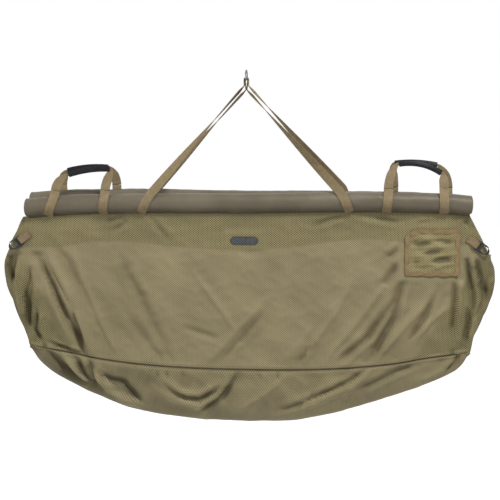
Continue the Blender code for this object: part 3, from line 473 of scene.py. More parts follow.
def sweep(name, centres, ups, profile, finish, widths=None, heights=None, closed=False):
    """Sweeps a closed profile of (across, up) places along a path; up directions are given."""
    centres = np.asarray(centres, float)
    ups = np.asarray(ups, float)
    count = len(centres)
    if closed:
        along = np.roll(centres, -1, 0) - np.roll(centres, 1, 0)
    else:
        along = np.gradient(centres, axis=0)
    along /= np.linalg.norm(along, axis=1, keepdims=True)
    up = ups - along * (ups * along).sum(1, keepdims=True)
    up /= np.linalg.norm(up, axis=1, keepdims=True)
    across = np.cross(along, up)
    profile = np.asarray(profile, float)
    wide = np.ones(count) if widths is None else np.asarray(widths, float)
    tall = np.ones(count) if heights is None else np.asarray(heights, float)
    points = (
        centres[:, None]
        + across[:, None] * (profile[:, 0][None, :, None] * wide[:, None, None])
        + up[:, None] * (profile[:, 1][None, :, None] * tall[:, None, None])
    )
    step = np.linalg.norm(np.diff(centres, axis=0), axis=1)
    length = np.concatenate([[0], np.cumsum(step)])
    uv = np.zeros((count, len(profile), 2))
    uv[:, :, 0] = profile[:, 0][None] * wide[:, None]
    uv[:, :, 1] = length[:, None]
    faces = grid_faces(count, len(profile), looped=True)
    if closed:
        last = (count - 1) * len(profile)
        for j in range(len(profile)):
            k = (j + 1) % len(profile)
            faces.append((last + j, last + k, k, j))
    else:
        last = (count - 1) * len(profile)
        faces.append(tuple(range(len(profile)))[::-1])
        faces.append(tuple(range(last, last + len(profile))))
    made = mesh_object(name, points.reshape(-1, 3), faces, finish, uv.reshape(-1, 2))
    return turn_outward(made)


def flat_profile(width, thickness, steps=8):
    """A webbing's cross-section: flat faces and rounded selvedges."""
    half, deep = width / 2 - thickness / 2, thickness / 2
    top = [(mix(-half, half, i / steps), deep) for i in range(steps + 1)]
    right = [(half + deep * math.sin(t), deep * math.cos(t)) for t in (0.8, math.pi / 2, math.pi - 0.8)]
    return top + right + [(-x, -y) for x, y in top] + [(-x, -y) for x, y in right]


rides = {-1: "front_side", 1: "rear_side"}
words = {-1: "front", 1: "rear"}
ends = {-1: "left", 1: "right"}

# %% [markdown]
# ## The ring
#
# A weigh ring is one bent and welded steel wire: a straight bar below, which the straps fold over, and a
# tall bow above for the scale's hook. One round wire swept along a closed D gives it.


# %% D-ring
def make_ring():
    half = (ring_inside + ring_wire) / 2
    corner = 0.005
    shoulder = bar_z + corner
    crown = ring_wire / 2 - shoulder
    path = []
    for turn in np.linspace(-math.pi / 2, 0, 10):
        path.append((0, half - corner + corner * math.cos(turn), shoulder + corner * math.sin(turn)))
    for turn in np.linspace(0, math.pi, 50)[1:-1]:
        path.append((0, half * math.cos(turn), shoulder + crown * math.sin(turn)))
    path += [(0, -y, z) for _, y, z in path[9::-1]]
    path += [(0, y, bar_z) for y in np.linspace(-half + corner, half - corner, 14)[1:-1]]
    turns = np.linspace(0, math.tau, 18, endpoint=False)
    profile = [(ring_wire / 2 * math.cos(t), ring_wire / 2 * math.sin(t)) for t in turns]
    ring = sweep("steel_d_ring", path, [(1, 0, 0)] * len(path), profile, steel_finish, closed=True)
    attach(ring, "hanging_ring")
    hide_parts("d_ring")


make_ring()
print("ring made")

# %% [markdown]
# ## Weigh straps
#
# Each strap is one length of webbing folded over the ring's bar and sewn into a V. Each leg leaves the V
# with its edge to the front and turns by 80 degrees on its way down, until it lies against its tube. The
# two straps cross: one leg of each goes to the front tube and the other leg to the rear tube.

# %% Strap paths
apex_drops = {True: 0.037, False: 0.047}
strap_joint_z = -0.055
strap_crease_half = 0.2445
strap_crease_z = tube_z + 0.031
inner_loop = ring_wire / 2 + seat_gap + webbing_thickness / 2
outer_loop = inner_loop + webbing_thickness + seat_gap


def unit(v):
    return v / np.linalg.norm(v)


class StrapLeg:
    """One leg's line and facing from its V to the crease above the tube, close to the solids' own."""

    def __init__(self, side, front):
        self.side, self.front = side, front
        self.outer = side == front
        self.half = strap_crease_half + 0.0025 if front < 0 else 0.2505 + 0.006 * side
        self.drop = apex_drops[self.outer]
        apex_x = side * (outer_loop if self.outer else webbing_thickness / 2 + seat_gap)
        fall = -tube_z - self.drop
        self.lean = math.atan2(tube_y, fall) + math.asin(wrap_radius / math.hypot(tube_y, fall))
        touch_y = tube_y + wrap_radius * math.cos(self.lean)
        touch_z = tube_z + wrap_radius * math.sin(self.lean)
        share = (strap_crease_z + self.drop) / (touch_z + self.drop)
        self.apex = np.array((apex_x, 0.0, -self.drop))
        self.crease = np.array((side * self.half, front * touch_y * share, strap_crease_z))
        flat = unit(np.array((self.crease[0] - self.apex[0], 0, self.crease[2] - self.apex[2])))
        self.lift = np.array((side * abs(flat[2]), 0, abs(flat[0])))
        self.joint_share = (strap_joint_z + self.drop) / (strap_crease_z + self.drop)

    def place(self, share):
        return mix(self.apex, self.crease, share)

    def face(self, share):
        flat = 0.30 if self.side < 0 else 0.17
        dip = math.radians(14) * float(ease(0, 0.06, share)) * max(1 - share / flat, 0.0)
        turn = math.radians(80) * (max(share - flat, 0.0) / (1 - flat)) ** 0.95 - dip
        return self.lift * math.cos(turn) + np.array((0, self.side * math.sin(turn), 0))


def wrap_places(front, first, steps=14):
    """Places and outward directions round a tube's outer side and down its hem."""
    found = []
    for turn in np.linspace(first, math.radians(-70), steps):
        out = np.array((0, front * math.cos(turn), math.sin(turn)))
        found.append((np.array((0, front * tube_y, tube_z)) + out * wrap_radius, out))
    y = front * (tube_y + 0.0012 + wrap_gap + webbing_thickness / 2)
    for share in (0.45, 0.75, 1.0):
        place = np.array((0, y, tube_z - tube_radius - hem_depth * share))
        found.append((place, np.array((0, front, 0.0))))
    return found


# %% Straps
def make_strap_leg(side, front):
    leg = StrapLeg(side, front)
    start = leg.joint_share + seat_gap / (leg.apex[2] - leg.crease[2])
    centres, ups = [], []
    for share in np.linspace(0, 1, 56):
        place = leg.place(mix(start, 1.0, share))
        place = place + np.array((0, 0, tube_hang(place[0], front) * share))
        centres.append(place)
        ups.append(leg.face(mix(start, 1.0, share)))
    wrapped = wrap_places(front, leg.lean)
    sign = 1 if leg.outer else -1
    anchor = 0.281 if side < 0 else 0.2765
    foot_z = tube_z - tube_radius - hem_depth
    for i, (place, out) in enumerate(wrapped):
        down = (strap_crease_z - place[2]) / (strap_crease_z - foot_z)
        x = side * mix(leg.half, anchor, max(down, 0.0) ** 0.8)
        lift = tube_bow(x) + tube_hang(x, front)
        centres.append(np.array((x, place[1], place[2] + lift)))
        ups.append(out * sign)
    name = words[front] + "_" + ends[side] + "_weigh_strap"
    strap = sweep(name, centres, ups, flat_profile(webbing_width, webbing_thickness), webbing_finish)
    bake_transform(strap)
    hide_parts(words[front] + "_" + ends[side] + "_strap")


def make_strap_head(name, node, left, right, radius):
    centres, ups = [], []
    for i in range(10):
        share = left.joint_share * (1 - i / 9)
        centres.append(left.place(share))
        ups.append(left.face(share))
    for turn in np.linspace(math.pi, 0, 22):
        out = np.array((math.cos(turn), 0, math.sin(turn)))
        centres.append(np.array((0, 0, bar_z)) + out * radius)
        ups.append(out)
    for i in range(10):
        share = right.joint_share * i / 9
        centres.append(right.place(share))
        ups.append(right.face(share))
    head = sweep(name, centres, ups, flat_profile(webbing_width, webbing_thickness), webbing_finish)
    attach(head, "sling")
    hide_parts(node)


for side in (-1, 1):
    for front in (-1, 1):
        make_strap_leg(side, front)
make_strap_head("inner_strap_head", "inner_strap_loop", StrapLeg(-1, 1), StrapLeg(1, -1), inner_loop)
make_strap_head("outer_strap_head", "outer_strap_loop", StrapLeg(-1, -1), StrapLeg(1, 1), outer_loop)
print("straps made: 4 legs and 2 heads")

# %% [markdown]
# ## Floating tubes
#
# Each tube is a foam core in a satiny sleeve, closed with a sewn disc at each end and sewn shut along a
# hem below, where the bag hangs. The cloth is pulled in under the straps and handle feet and creases a
# little between them. Its own skin stands for the sleeve, the core inside it and the end discs.


# %% Tubes
def crumple(x, y, seed, count, short, long):
    """A sum of seeded waves with sharp crests, between about -1 and 1, for small natural wrinkles."""
    rng = np.random.default_rng(seed)
    total = np.zeros(np.broadcast(x, y).shape)
    for _ in range(count):
        wave = rng.uniform(short, long)
        turn = rng.uniform(0, math.pi)
        phase = rng.uniform(0, math.tau)
        bend = 0.35 * np.sin(x * 31 + y * 17 + phase * 3)
        across = x * math.cos(turn) + y * math.sin(turn)
        total += 1 - 2 * np.abs(np.sin(across * math.pi / wave + phase + bend))
    return total / math.sqrt(count)


# Each handle by its side and front: its centre along the tube, and its grip's shift, rise and slope.
grip_feet = {
    (-1, -1): (-0.4575, 0.040, 0.050, 0.014),
    (1, -1): (0.447, 0.010, 0.052, -0.025),
    (-1, 1): (-0.4375, 0.002, 0.043, 0.010),
    (1, 1): (0.467, -0.016, 0.063, -0.004),
}
# How far the webbing of each handle leans along the tube at its left and right crease.
crease_steps = {
    (-1, -1): (0.024, 0.008),
    (1, -1): (0.004, -0.002),
    (-1, 1): (0.004, 0.004),
    (1, 1): (0.002, -0.004),
}


def pull_ins(side_front):
    """Places along a tube where webbing is sewn round it and pulls the sleeve in."""
    places = [-0.262, 0.262]
    for side in (-1, 1):
        centre = grip_feet[side, side_front][0]
        places += [centre - foot_half_spread, centre + foot_half_spread]
    return places


def make_tube(front):
    word = words[front]
    xs = np.concatenate(
        [
            -tube_half - end_dome * np.sin(np.linspace(math.pi / 2, 0, 7)[:-1]),
            np.linspace(-tube_half, tube_half, 241),
            tube_half + end_dome * np.sin(np.linspace(0, math.pi / 2, 7)[1:]),
        ]
    )
    turns = np.linspace(-math.pi / 2, math.pi * 1.5, 48, endpoint=False)
    x = xs[:, None] + 0 * turns[None]
    t = turns[None] + 0 * xs[:, None]
    radius = np.full_like(x, tube_radius)
    radius += 0.00035 * crumple(x, t * tube_radius, 5 + front, 12, 0.03, 0.11)
    radius += 0.0006 * np.sin(x * 23 + front) * np.sin(t * 2 + x * 4)
    for place in pull_ins(front):
        near = np.exp(-(((x - place) / 0.016) ** 2))
        radius -= 0.0007 * near
        ring = np.abs(x - place)
        radius += 0.0006 * np.exp(-(((ring - 0.024) / 0.008) ** 2)) * np.sin(t * 5 + place * 40)
    radius = np.minimum(radius, tube_radius + 0.0008)
    over = np.clip((np.abs(x) - tube_half) / end_dome, 0, 1)
    radius *= np.sqrt(np.maximum(1 - over**2.2, 0))
    seam = np.exp(-(((np.abs(x) - tube_half + 0.001) / 0.0016) ** 2))
    radius += 0.0007 * seam
    centre_z = tube_z + tube_bow(x) + tube_hang(x, front)
    points = np.stack([x, front * tube_y + radius * np.cos(t), centre_z + radius * np.sin(t)], 2)
    uv = np.stack([x, t * tube_radius], 2).reshape(-1, 2)
    count = len(turns)
    faces = grid_faces(len(xs), count, looped=True)
    faces.append(tuple(range(count)))
    faces.append(tuple(range((len(xs) - 1) * count, len(xs) * count)))
    tube = turn_outward(mesh_object(word + "_float_tube", points.reshape(-1, 3), faces, sleeve_finish, uv))
    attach(tube, rides[front])
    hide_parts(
        word + "_tube_sleeve",
        word + "_tube_foam",
        word + "_left_end_disc",
        word + "_right_end_disc",
    )
    xs = np.linspace(-tube_half + 0.002, tube_half - 0.002, 260)
    wave = 0.0007 * np.sin(xs * 41 + front) + 0.0005 * np.sin(xs * 97 + 2)
    low = tube_z - tube_radius - hem_depth / 2 + 0.001 + tube_bow(xs) + tube_hang(xs, front)
    centres = np.stack([xs, np.full_like(xs, front * tube_y) + wave, low], 1)
    hem = sweep(
        word + "_hem",
        centres,
        [(0, front, 0)] * len(xs),
        flat_profile(hem_depth + 0.005, 0.0024, 4),
        sleeve_finish,
    )
    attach(hem, rides[front])
    low = tube_z - tube_radius - hem_depth + 0.0006 + tube_bow(xs) + tube_hang(xs, front)
    centres = np.stack([xs, np.full_like(xs, front * (tube_y + 0.0006)) + wave, low], 1)
    ring = [(0.0017 * math.cos(a), 0.0017 * math.sin(a)) for a in np.linspace(0, math.tau, 8, endpoint=False)]
    piping = sweep(word + "_hem_piping", centres, [(0, front, 0)] * len(xs), ring, tape_finish)
    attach(piping, rides[front])


for front in (-1, 1):
    make_tube(front)
print("tubes made with hems and piping")

# %% [markdown]
# ## Handles
#
# A handle is a length of webbing sewn round the tube on two feet. Above a crease it leaves the tube, is
# folded narrow and runs through a rubber grip with grooves along it. The grips differ a little from each
# other, as hand-hung handles do.

# %% Handle paths
crease_height = 0.035
foot_wrap = math.radians(20)
straight = crease_height - wrap_radius * math.sin(foot_wrap)
crease_y = tube_y + wrap_radius * math.cos(foot_wrap) - straight * math.tan(foot_wrap)
grip_length = 0.112
folded_width = 0.0076
folded_depth = 0.0032


def grip_line(side, front, shares):
    centre, shift, rise, end_rise = grip_feet[side, front]
    y = front * (crease_y - 0.008)
    middle = np.array((centre + shift, y, tube_z + crease_height + rise))
    along = unit(np.array((grip_length, 0, end_rise)))
    upward = np.array((-along[2], 0, along[0]))
    line = []
    arch = 0.011 if (side, front) == (1, -1) else 0.005
    for share in shares:
        bow = arch * (1 - (2 * share - 1) ** 2)
        place = middle + along * (grip_length * (share - 0.5)) + upward * bow
        line.append(place + np.array((0, 0, tube_hang(place[0], front))))
    return np.array(line)


def curve_between(a, b, c, d, share):
    keep = 1 - share
    return a * keep**3 + b * 3 * keep**2 * share + c * 3 * keep * share**2 + d * share**3


def make_foot(side, front, end, which):
    centre = grip_feet[side, front][0]
    x = centre + end * foot_half_spread
    hang = tube_hang(x, front)
    step = crease_steps[side, front][0 if end < 0 else 1]
    foot_z = tube_z - tube_radius - hem_depth
    centres = [np.array((x + step, front * crease_y, tube_z + crease_height + hang))]
    ups = [np.array((0, front, 0.0))]
    for place, out in wrap_places(front, foot_wrap, 16):
        up = (place[2] - foot_z) / (tube_z + crease_height - foot_z)
        centres.append(np.array((x + step * up, place[1], place[2] + tube_bow(x) + hang)))
        ups.append(out)
    stem = words[front] + "_" + ends[side]
    profile = flat_profile(webbing_width, webbing_thickness)
    foot = sweep(stem + "_foot_" + which, centres, ups, profile, webbing_finish)
    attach(foot, rides[front])
    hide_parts(stem + "_handle_foot_" + which)


def make_handle_webbing(side, front):
    centre = grip_feet[side, front][0]
    line = grip_line(side, front, np.linspace(0, 1, 12))
    tilt = unit(line[-1] - line[0])
    runs = []
    for end, top in ((-1, line[0]), (1, line[-1])):
        x = centre + end * foot_half_spread + crease_steps[side, front][0 if end < 0 else 1]
        foot = np.array((x, front * crease_y, tube_z + crease_height + seat_gap + tube_hang(x, front)))
        pull = np.linalg.norm(top - foot)
        rise = foot + np.array((0, 0, pull * 0.38))
        back = top + tilt * end * pull * 0.16
        shares = np.linspace(0, 1, 22)[:-1]
        places = [curve_between(foot, rise, back, top, s) for s in shares]
        narrow = [float(ease(0.35, 0.97, s)) for s in shares]
        runs.append((places, narrow))
    centres = runs[0][0] + list(line) + runs[1][0][::-1]
    narrow = runs[0][1] + [1.0] * len(line) + runs[1][1][::-1]
    widths = [mix(1.0, folded_width / webbing_width, n) for n in narrow]
    heights = [mix(1.0, folded_depth / webbing_thickness, n) for n in narrow]
    name = words[front] + "_" + ends[side]
    webbing = sweep(
        name + "_handle_strap",
        centres,
        [(0, front, 0)] * len(centres),
        flat_profile(webbing_width, webbing_thickness),
        webbing_finish,
        widths,
        heights,
    )
    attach(webbing, name + "_handle")
    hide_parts(name + "_handle_webbing")


for side in (-1, 1):
    for front in (-1, 1):
        make_handle_webbing(side, front)
        make_foot(side, front, -1, "inner" if side > 0 else "outer")
        make_foot(side, front, 1, "outer" if side > 0 else "inner")
print("handles made:", len(grip_feet))

# %% [markdown]
# ## Grips in Geometry Nodes
#
# The grip is one rule: a tube swept along its line with a groove between every two ribs. A node tree does
# it from four named inputs, so a grip with more ribs or a larger radius is one number away.


# %% Grip tree
def add_input(tree, name, kind, value):
    socket = tree.interface.new_socket(name=name, in_out="INPUT", socket_type="NodeSocket" + kind)
    if value is not None:
        socket.default_value = value
    return socket.identifier


def new_tree(name):
    tree = bpy.data.node_groups.new(name, "GeometryNodeTree")
    tree.interface.new_socket(name="Geometry", in_out="OUTPUT", socket_type="NodeSocketGeometry")
    tree.interface.new_socket(name="Geometry", in_out="INPUT", socket_type="NodeSocketGeometry")
    return tree


def node(tree, kind, inputs=None, **settings):
    made = tree.nodes.new(kind)
    for key, value in settings.items():
        setattr(made, key, value)
    for key, value in (inputs or {}).items():
        if isinstance(value, bpy.types.NodeSocket):
            tree.links.new(value, made.inputs[key])
        else:
            made.inputs[key].default_value = value
    return made


def build_grip_tree():
    tree = new_tree("ribbed_grip")
    names = {
        "Ribs": add_input(tree, "Ribs", "Int", 12),
        "Radius": add_input(tree, "Radius", "Float", 0.0068),
        "Groove": add_input(tree, "Groove", "Float", 0.0011),
        "Finish": add_input(tree, "Finish", "Material", None),
    }
    start = tree.nodes.new("NodeGroupInput")
    path = node(tree, "GeometryNodeMeshToCurve", {"Mesh": start.outputs["Geometry"]})
    count = node(tree, "ShaderNodeMath", {0: start.outputs["Ribs"], 1: 4.0}, operation="MULTIPLY")
    circle = node(
        tree,
        "GeometryNodeCurvePrimitiveCircle",
        {"Resolution": count.outputs[0], "Radius": start.outputs["Radius"]},
    )
    index = node(tree, "GeometryNodeInputIndex")
    phase = node(tree, "ShaderNodeMath", {0: index.outputs[0], 1: math.pi / 2}, operation="MULTIPLY")
    wave = node(tree, "ShaderNodeMath", {0: phase.outputs[0]}, operation="COSINE")
    depth = node(
        tree, "ShaderNodeMath", {0: wave.outputs[0], 1: start.outputs["Groove"]}, operation="MULTIPLY"
    )
    place = node(tree, "GeometryNodeInputPosition")
    out = node(tree, "ShaderNodeVectorMath", {0: place.outputs[0]}, operation="NORMALIZE")
    offset = node(
        tree, "ShaderNodeVectorMath", {0: out.outputs[0], "Scale": depth.outputs[0]}, operation="SCALE"
    )
    ribbed = node(
        tree, "GeometryNodeSetPosition", {"Geometry": circle.outputs["Curve"], "Offset": offset.outputs[0]}
    )
    solid = node(
        tree,
        "GeometryNodeCurveToMesh",
        {"Curve": path.outputs[0], "Profile Curve": ribbed.outputs[0], "Fill Caps": True},
    )
    smooth = node(tree, "GeometryNodeSetShadeSmooth", {0: solid.outputs[0]})
    whole = node(tree, "GeometryNodeRealizeInstances", {0: smooth.outputs[0]})
    painted = node(
        tree, "GeometryNodeSetMaterial", {"Geometry": whole.outputs[0], "Material": start.outputs["Finish"]}
    )
    finish = tree.nodes.new("NodeGroupOutput")
    tree.links.new(painted.outputs[0], finish.inputs[0])
    return tree, names


grip_tree, grip_inputs = build_grip_tree()


def run_tree(obj, tree, names, values):
    """Runs a node tree on an object with its inputs set, and keeps the result as a plain mesh."""
    step = obj.modifiers.new(tree.name, "NODES")
    step.node_group = tree
    for key, value in values.items():
        step[names[key]] = value
    return bake(obj)


def make_grip(side, front):
    stem = words[front] + "_" + ends[side]
    line = grip_line(side, front, np.linspace(0, 1, 40))
    edges = [(i, i + 1) for i in range(len(line) - 1)]
    grip = mesh_object(stem + "_grip", line, [], rubber_finish, edges=edges)
    values = {"Ribs": 12, "Radius": 0.0068, "Groove": 0.0008, "Finish": rubber_finish}
    run_tree(grip, grip_tree, grip_inputs, values)
    turn_outward(grip)
    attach(grip, stem + "_handle")
    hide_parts(stem + "_handle_grip")
    return len(grip.data.polygons)


print("grip faces:", [make_grip(side, front) for side in (-1, 1) for front in (-1, 1)])

# %% [markdown]
# ## The bag
#
# Each side of the bag is one cut of mesh that hangs from its tube's hem down to the seam over the bottom
# gusset, and folds back at its ends to meet the other side at the zip. Nothing fills the bag, so it hangs
# in long folds that run from the handle feet and the zip's foot towards the seam. The folds are drawn as
# lines with a depth and a width, and the cloth between them sags and crumples a little by seeded waves.

# %% Fold lines and outlines, in millimetres
# A fold is its depth, its width and the line that it runs along. Most lines, and the liner's edge, follow
# points picked on the enlarged photo. The two outlines follow the edge of the photo's silhouette, which a
# scratch script measured. Scratch scripts also turned all these places from pixels into millimetres.
front_folds = (
    (-9, 13, ((-582, -456), (-541, -543), (-494, -645), (-460, -709), (-434, -773))),
    (7, 13, ((-560, -456), (-519, -535), (-472, -636), (-440, -694), (-420, -767))),
    (5, 8, ((-594, -481), (-608, -586), (-624, -636))),
    (-5, 7, ((-625, -483), (-634, -531), (-639, -570))),
    (4, 6, ((-599, -486), (-609, -525), (-628, -573))),
    (-5, 7, ((-574, -554), (-592, -608), (-597, -669))),
    (4, 6, ((-561, -563), (-560, -613))),
    (4, 7, ((-542, -744), (-519, -806))),
    (-3, 9, ((-385, -400), (-323, -384))),
    (-3, 9, ((-354, -424), (-317, -393))),
    (-3, 9, ((-260, -375), (-231, -420), (-207, -447))),
    (-3, 9, ((266, -370), (182, -405))),
    (-3, 10, ((287, -365), (415, -398))),
    (-2.5, 8, ((491, -389), (449, -411))),
    (-2.5, 8, ((224, -389), (253, -376))),
    (-3, 11, ((-520, -467), (-482, -507), (-452, -586))),
    (-3.5, 13, ((-343, -486), (-277, -617))),
    (-3.5, 13, ((-343, -623), (-252, -744), (-211, -782))),
    (-3, 12, ((-309, -554), (-189, -796))),
    (4.5, 15, ((52, -604), (-100, -776))),
    (-3, 10, ((71, -612), (-75, -780))),
    (4, 14, ((191, -657), (110, -776))),
    (-3.5, 9, ((181, -723), (142, -775))),
    (-2.5, 9, ((-175, -681), (-71, -712))),
    (-5, 10, ((421, -459), (374, -489))),
    (-5, 11, ((422, -495), (361, -566))),
    (-8, 12, ((434, -528), (411, -572), (396, -648), (364, -711), (331, -771))),
    (5, 13, ((503, -584), (442, -655), (380, -733))),
    (5, 11, ((467, -617), (355, -758))),
    (5, 12, ((551, -605), (428, -727))),
    (-5, 10, ((513, -570), (468, -663), (433, -723))),
    (7, 7, ((566, -444), (570, -529), (573, -713))),
    (-7, 8, ((573, -445), (582, -489), (591, -529), (603, -593), (605, -649))),
    (5, 8, ((596, -469), (623, -563))),
    (4, 7, ((574, -588), (584, -645))),
    (-4, 6, ((645, -523), (632, -604), (598, -669))),
    (-8, 9, ((-636, -482), (-645, -525), (-640, -565))),
    (8, 9, ((-603, -472), (-626, -550), (-618, -610), (-606, -672))),
    (-9, 10, ((-586, -535), (-607, -600), (-602, -660), (-592, -705))),
    (8, 7, ((-588, -470), (-575, -560), (-568, -640), (-556, -728))),
    (-7, 7, ((-570, -640), (-580, -700), (-562, -735))),
    (5, 8, ((-470, -470), (-440, -560), (-385, -690), (-350, -765))),
    (-9, 7, ((585, -384), (572, -420), (566, -456))),
    (7, 7, ((596, -400), (604, -460), (600, -520))),
    (-8, 9, ((598, -470), (622, -545), (638, -590))),
    (9, 8, ((571, -470), (572, -560), (566, -640), (562, -728))),
    (-6, 7, ((554, -520), (556, -600), (550, -700))),
    (-8, 8, ((590, -600), (596, -660), (586, -725))),
    (6, 8, ((618, -600), (606, -660), (600, -710))),
    (5, 12, ((300, -520), (240, -640), (150, -770))),
    (4, 10, ((-150, -520), (-60, -640), (-20, -700))),
    (-7, 8, ((-556, -470), (-510, -560), (-470, -640), (-438, -772))),
    (6, 8, ((-574, -500), (-540, -580), (-500, -680), (-470, -760))),
    (-6, 6, ((-548, -735), (-500, -748), (-440, -768))),
    (-6, 10, ((412, -580), (330, -700), (240, -782))),
    (6, 12, ((400, -520), (300, -660), (210, -775))),
)
gusset_folds = (
    (-9, 12, ((-560, -745), (-520, -790), (-470, -830), (-400, -866))),
    (8, 9, ((-500, -762), (-478, -800), (-430, -850))),
    (-8, 8, ((-470, -766), (-448, -815), (-400, -858))),
    (8, 9, ((-446, -770), (-380, -860), (-290, -915))),
    (-6, 10, ((-20, -806), (-60, -870), (-130, -925))),
    (6, 10, ((120, -800), (60, -860), (-30, -920))),
    (7, 10, ((350, -775), (320, -815), (215, -868), (110, -905))),
    (-5, 10, ((480, -768), (400, -800), (300, -855))),
    (5, 9, ((560, -752), (540, -790), (470, -830))),
    (-7, 8, ((575, -740), (566, -775), (540, -800))),
    (-6, 8, ((-432, -777), (-409, -845))),
    (-7, 9, ((-409, -810), (-376, -832), (-333, -843), (-286, -900))),
    (6, 9, ((-405, -802), (-363, -867), (-271, -914))),
    (6, 9, ((-254, -849), (-189, -891), (-127, -905), (-79, -877), (-34, -811))),
    (5, 8, ((-238, -815), (-177, -863), (-122, -866), (-56, -826))),
    (-5, 8, ((-220, -844), (-166, -881), (-125, -886), (-69, -849))),
    (-7, 9, ((339, -773), (290, -821), (186, -876), (85, -919))),
    (6, 8, ((299, -836), (259, -875))),
    (-2.5, 4, ((-241, -804), (-238, -824))),
    (-2.5, 4, ((-216, -804), (-211, -826))),
    (-2.5, 4, ((-172, -800), (-170, -823))),
    (-2.5, 4, ((-63, -798), (-66, -821))),
    (-2.5, 4, ((37, -799), (40, -821))),
    (-2.5, 4, ((86, -798), (91, -823))),
)
end_outline = (
    (-370, 592, 590), (-387, 605, 595), (-404, 616, 598), (-420, 622, 608), (-437, 628, 618),
    (-453, 634, 630), (-470, 641, 637), (-486, 650, 643), (-503, 656, 654), (-520, 659, 660),
    (-553, 660, 661), (-570, 661, 659), (-587, 656, 657), (-603, 648, 649), (-620, 638, 644),
    (-637, 632, 637), (-654, 625, 627), (-670, 620, 618), (-687, 614, 611), (-704, 609, 608),
    (-721, 602, 607), (-738, 599, 604), (-755, 597, 601), (-772, 590, 594),
)
bottom_outline = (
    (-603, -742), (-599, -758), (-592, -775), (-576, -792), (-559, -808), (-540, -825),
    (-512, -842), (-476, -859), (-440, -875), (-409, -890), (-370, -907), (-320, -923),
    (-247, -939), (-160, -949), (-74, -953), (20, -954), (90, -952), (142, -947),
    (230, -929), (290, -911), (344, -893), (396, -875), (447, -857), (492, -839),
    (530, -822), (561, -804), (585, -787), (596, -770), (602, -753), (606, -742),
)
liner_line = (
    (-502, -470), (-420, -453), (-311, -452), (-203, -464), (12, -475), (145, -460),
    (264, -443), (356, -439), (422, -447), (520, -452),
)


def fold_field(x, z, folds):
    """The depth of all folds at each place, and a painted tone from -1, a painted highlight on a crest, to 1,
    painted shade in a valley.
    """
    height = np.zeros_like(x)
    painted_fold_tone = np.zeros_like(x)
    for depth, width, line in folds:
        line = np.array(line) / 1000
        wide = width / 1000
        step = np.linalg.norm(np.diff(line, axis=0), axis=1)
        run = np.concatenate([[0], np.cumsum(step)]) / step.sum()
        nearest = np.full(x.shape, 1e9)
        share = np.zeros_like(x)
        for i in range(len(line) - 1):
            ax, az = line[i]
            dx, dz = line[i + 1] - line[i]
            t = np.clip(((x - ax) * dx + (z - az) * dz) / (dx * dx + dz * dz), 0, 1)
            away = np.hypot(x - ax - t * dx, z - az - t * dz)
            closer = away < nearest
            nearest = np.where(closer, away, nearest)
            share = np.where(closer, mix(run[i], run[i + 1], t), share)
        taper = 0.2 + 0.8 * ease(0, 0.35, share) * ease(0, 0.2, 1 - share)
        crest = np.exp(-(np.hypot(nearest, 0.45 * wide) - 0.45 * wide) / (0.55 * wide)) * taper
        height += depth / 1000 * crest
        # Painted light: painted shade along a valley's line, a painted highlight along a crest's.
        painted_tone = min(abs(depth) / 6, 1.0) * np.exp(-np.hypot(nearest, 0.3 * wide) / (0.8 * wide)) * 1.3 * taper
        if depth < 0:
            height += -0.45 * depth / 1000 * np.exp(-(((nearest - 1.7 * wide) / (0.8 * wide)) ** 2)) * taper
            painted_fold_tone = np.where(painted_tone > np.abs(painted_fold_tone), painted_tone, painted_fold_tone)
        else:
            painted_fold_tone = np.where(painted_tone > np.abs(painted_fold_tone), -painted_tone, painted_fold_tone)
    return height, painted_fold_tone


# %% The bag's outline
def soften_line(values, steps):
    for _ in range(steps):
        values = np.concatenate([values[:1], (values[:-2] + 2 * values[1:-1] + values[2:]) / 4, values[-1:]])
    return values


outline_z = np.linspace(-0.772, -0.370, 90)
outline_table = np.array(sorted(end_outline)) / 1000
outline_left = soften_line(np.interp(outline_z, outline_table[:, 0], outline_table[:, 1]), 8)
outline_right = soften_line(np.interp(outline_z, outline_table[:, 0], outline_table[:, 2]), 8)
bottom_x = np.linspace(-0.603, 0.606, 240)
bottom_table = np.array(bottom_outline) / 1000
bottom_line = soften_line(np.interp(bottom_x, bottom_table[:, 0], bottom_table[:, 1]), 12)


def lobe(s, z, half):
    """How far the cloth puffs out past the zip's arc near the bag's ends, to the photo's outline."""
    outline = np.where(s < 0, np.interp(z, outline_z, outline_left), np.interp(z, outline_z, outline_right))
    outline = outline - 0.006 - 0.006 * ease(-0.46, -0.42, z)
    peak = ease(0.78, 0.94, np.abs(s)) * (1 - ease(0.955, 1.0, np.abs(s)))
    return np.sign(s) * peak * np.maximum(outline - 0.947 * half, 0)


# %% Bag sides
def seam_puckers(x, above):
    """Small gathers close to the bottom seam, from how far each place lies above it."""
    return np.sin(x * 330 + 3 * np.sin(x * 29)) * np.exp(-((above / 0.016) ** 2))


def keep_clear(x, z, front):
    """1 where the cloth may stand out freely, less where a pocket, badge or tab lies on it."""
    free = np.ones_like(x)
    if front < 0:
        for left, right, low, high in (
            (-0.050, 0.042, -0.462, -0.430),
            (0.415, 0.572, -0.542, -0.405),
            (-0.625, -0.560, -0.475, -0.415),
            (0.560, 0.625, -0.475, -0.415),
        ):
            inside_x = ease(left - 0.02, left, x) * ease(-right - 0.02, -right, -x)
            inside_z = ease(low - 0.02, low, z) * ease(-high - 0.02, -high, -z)
            free -= inside_x * inside_z
    return np.clip(free, 0, 1)


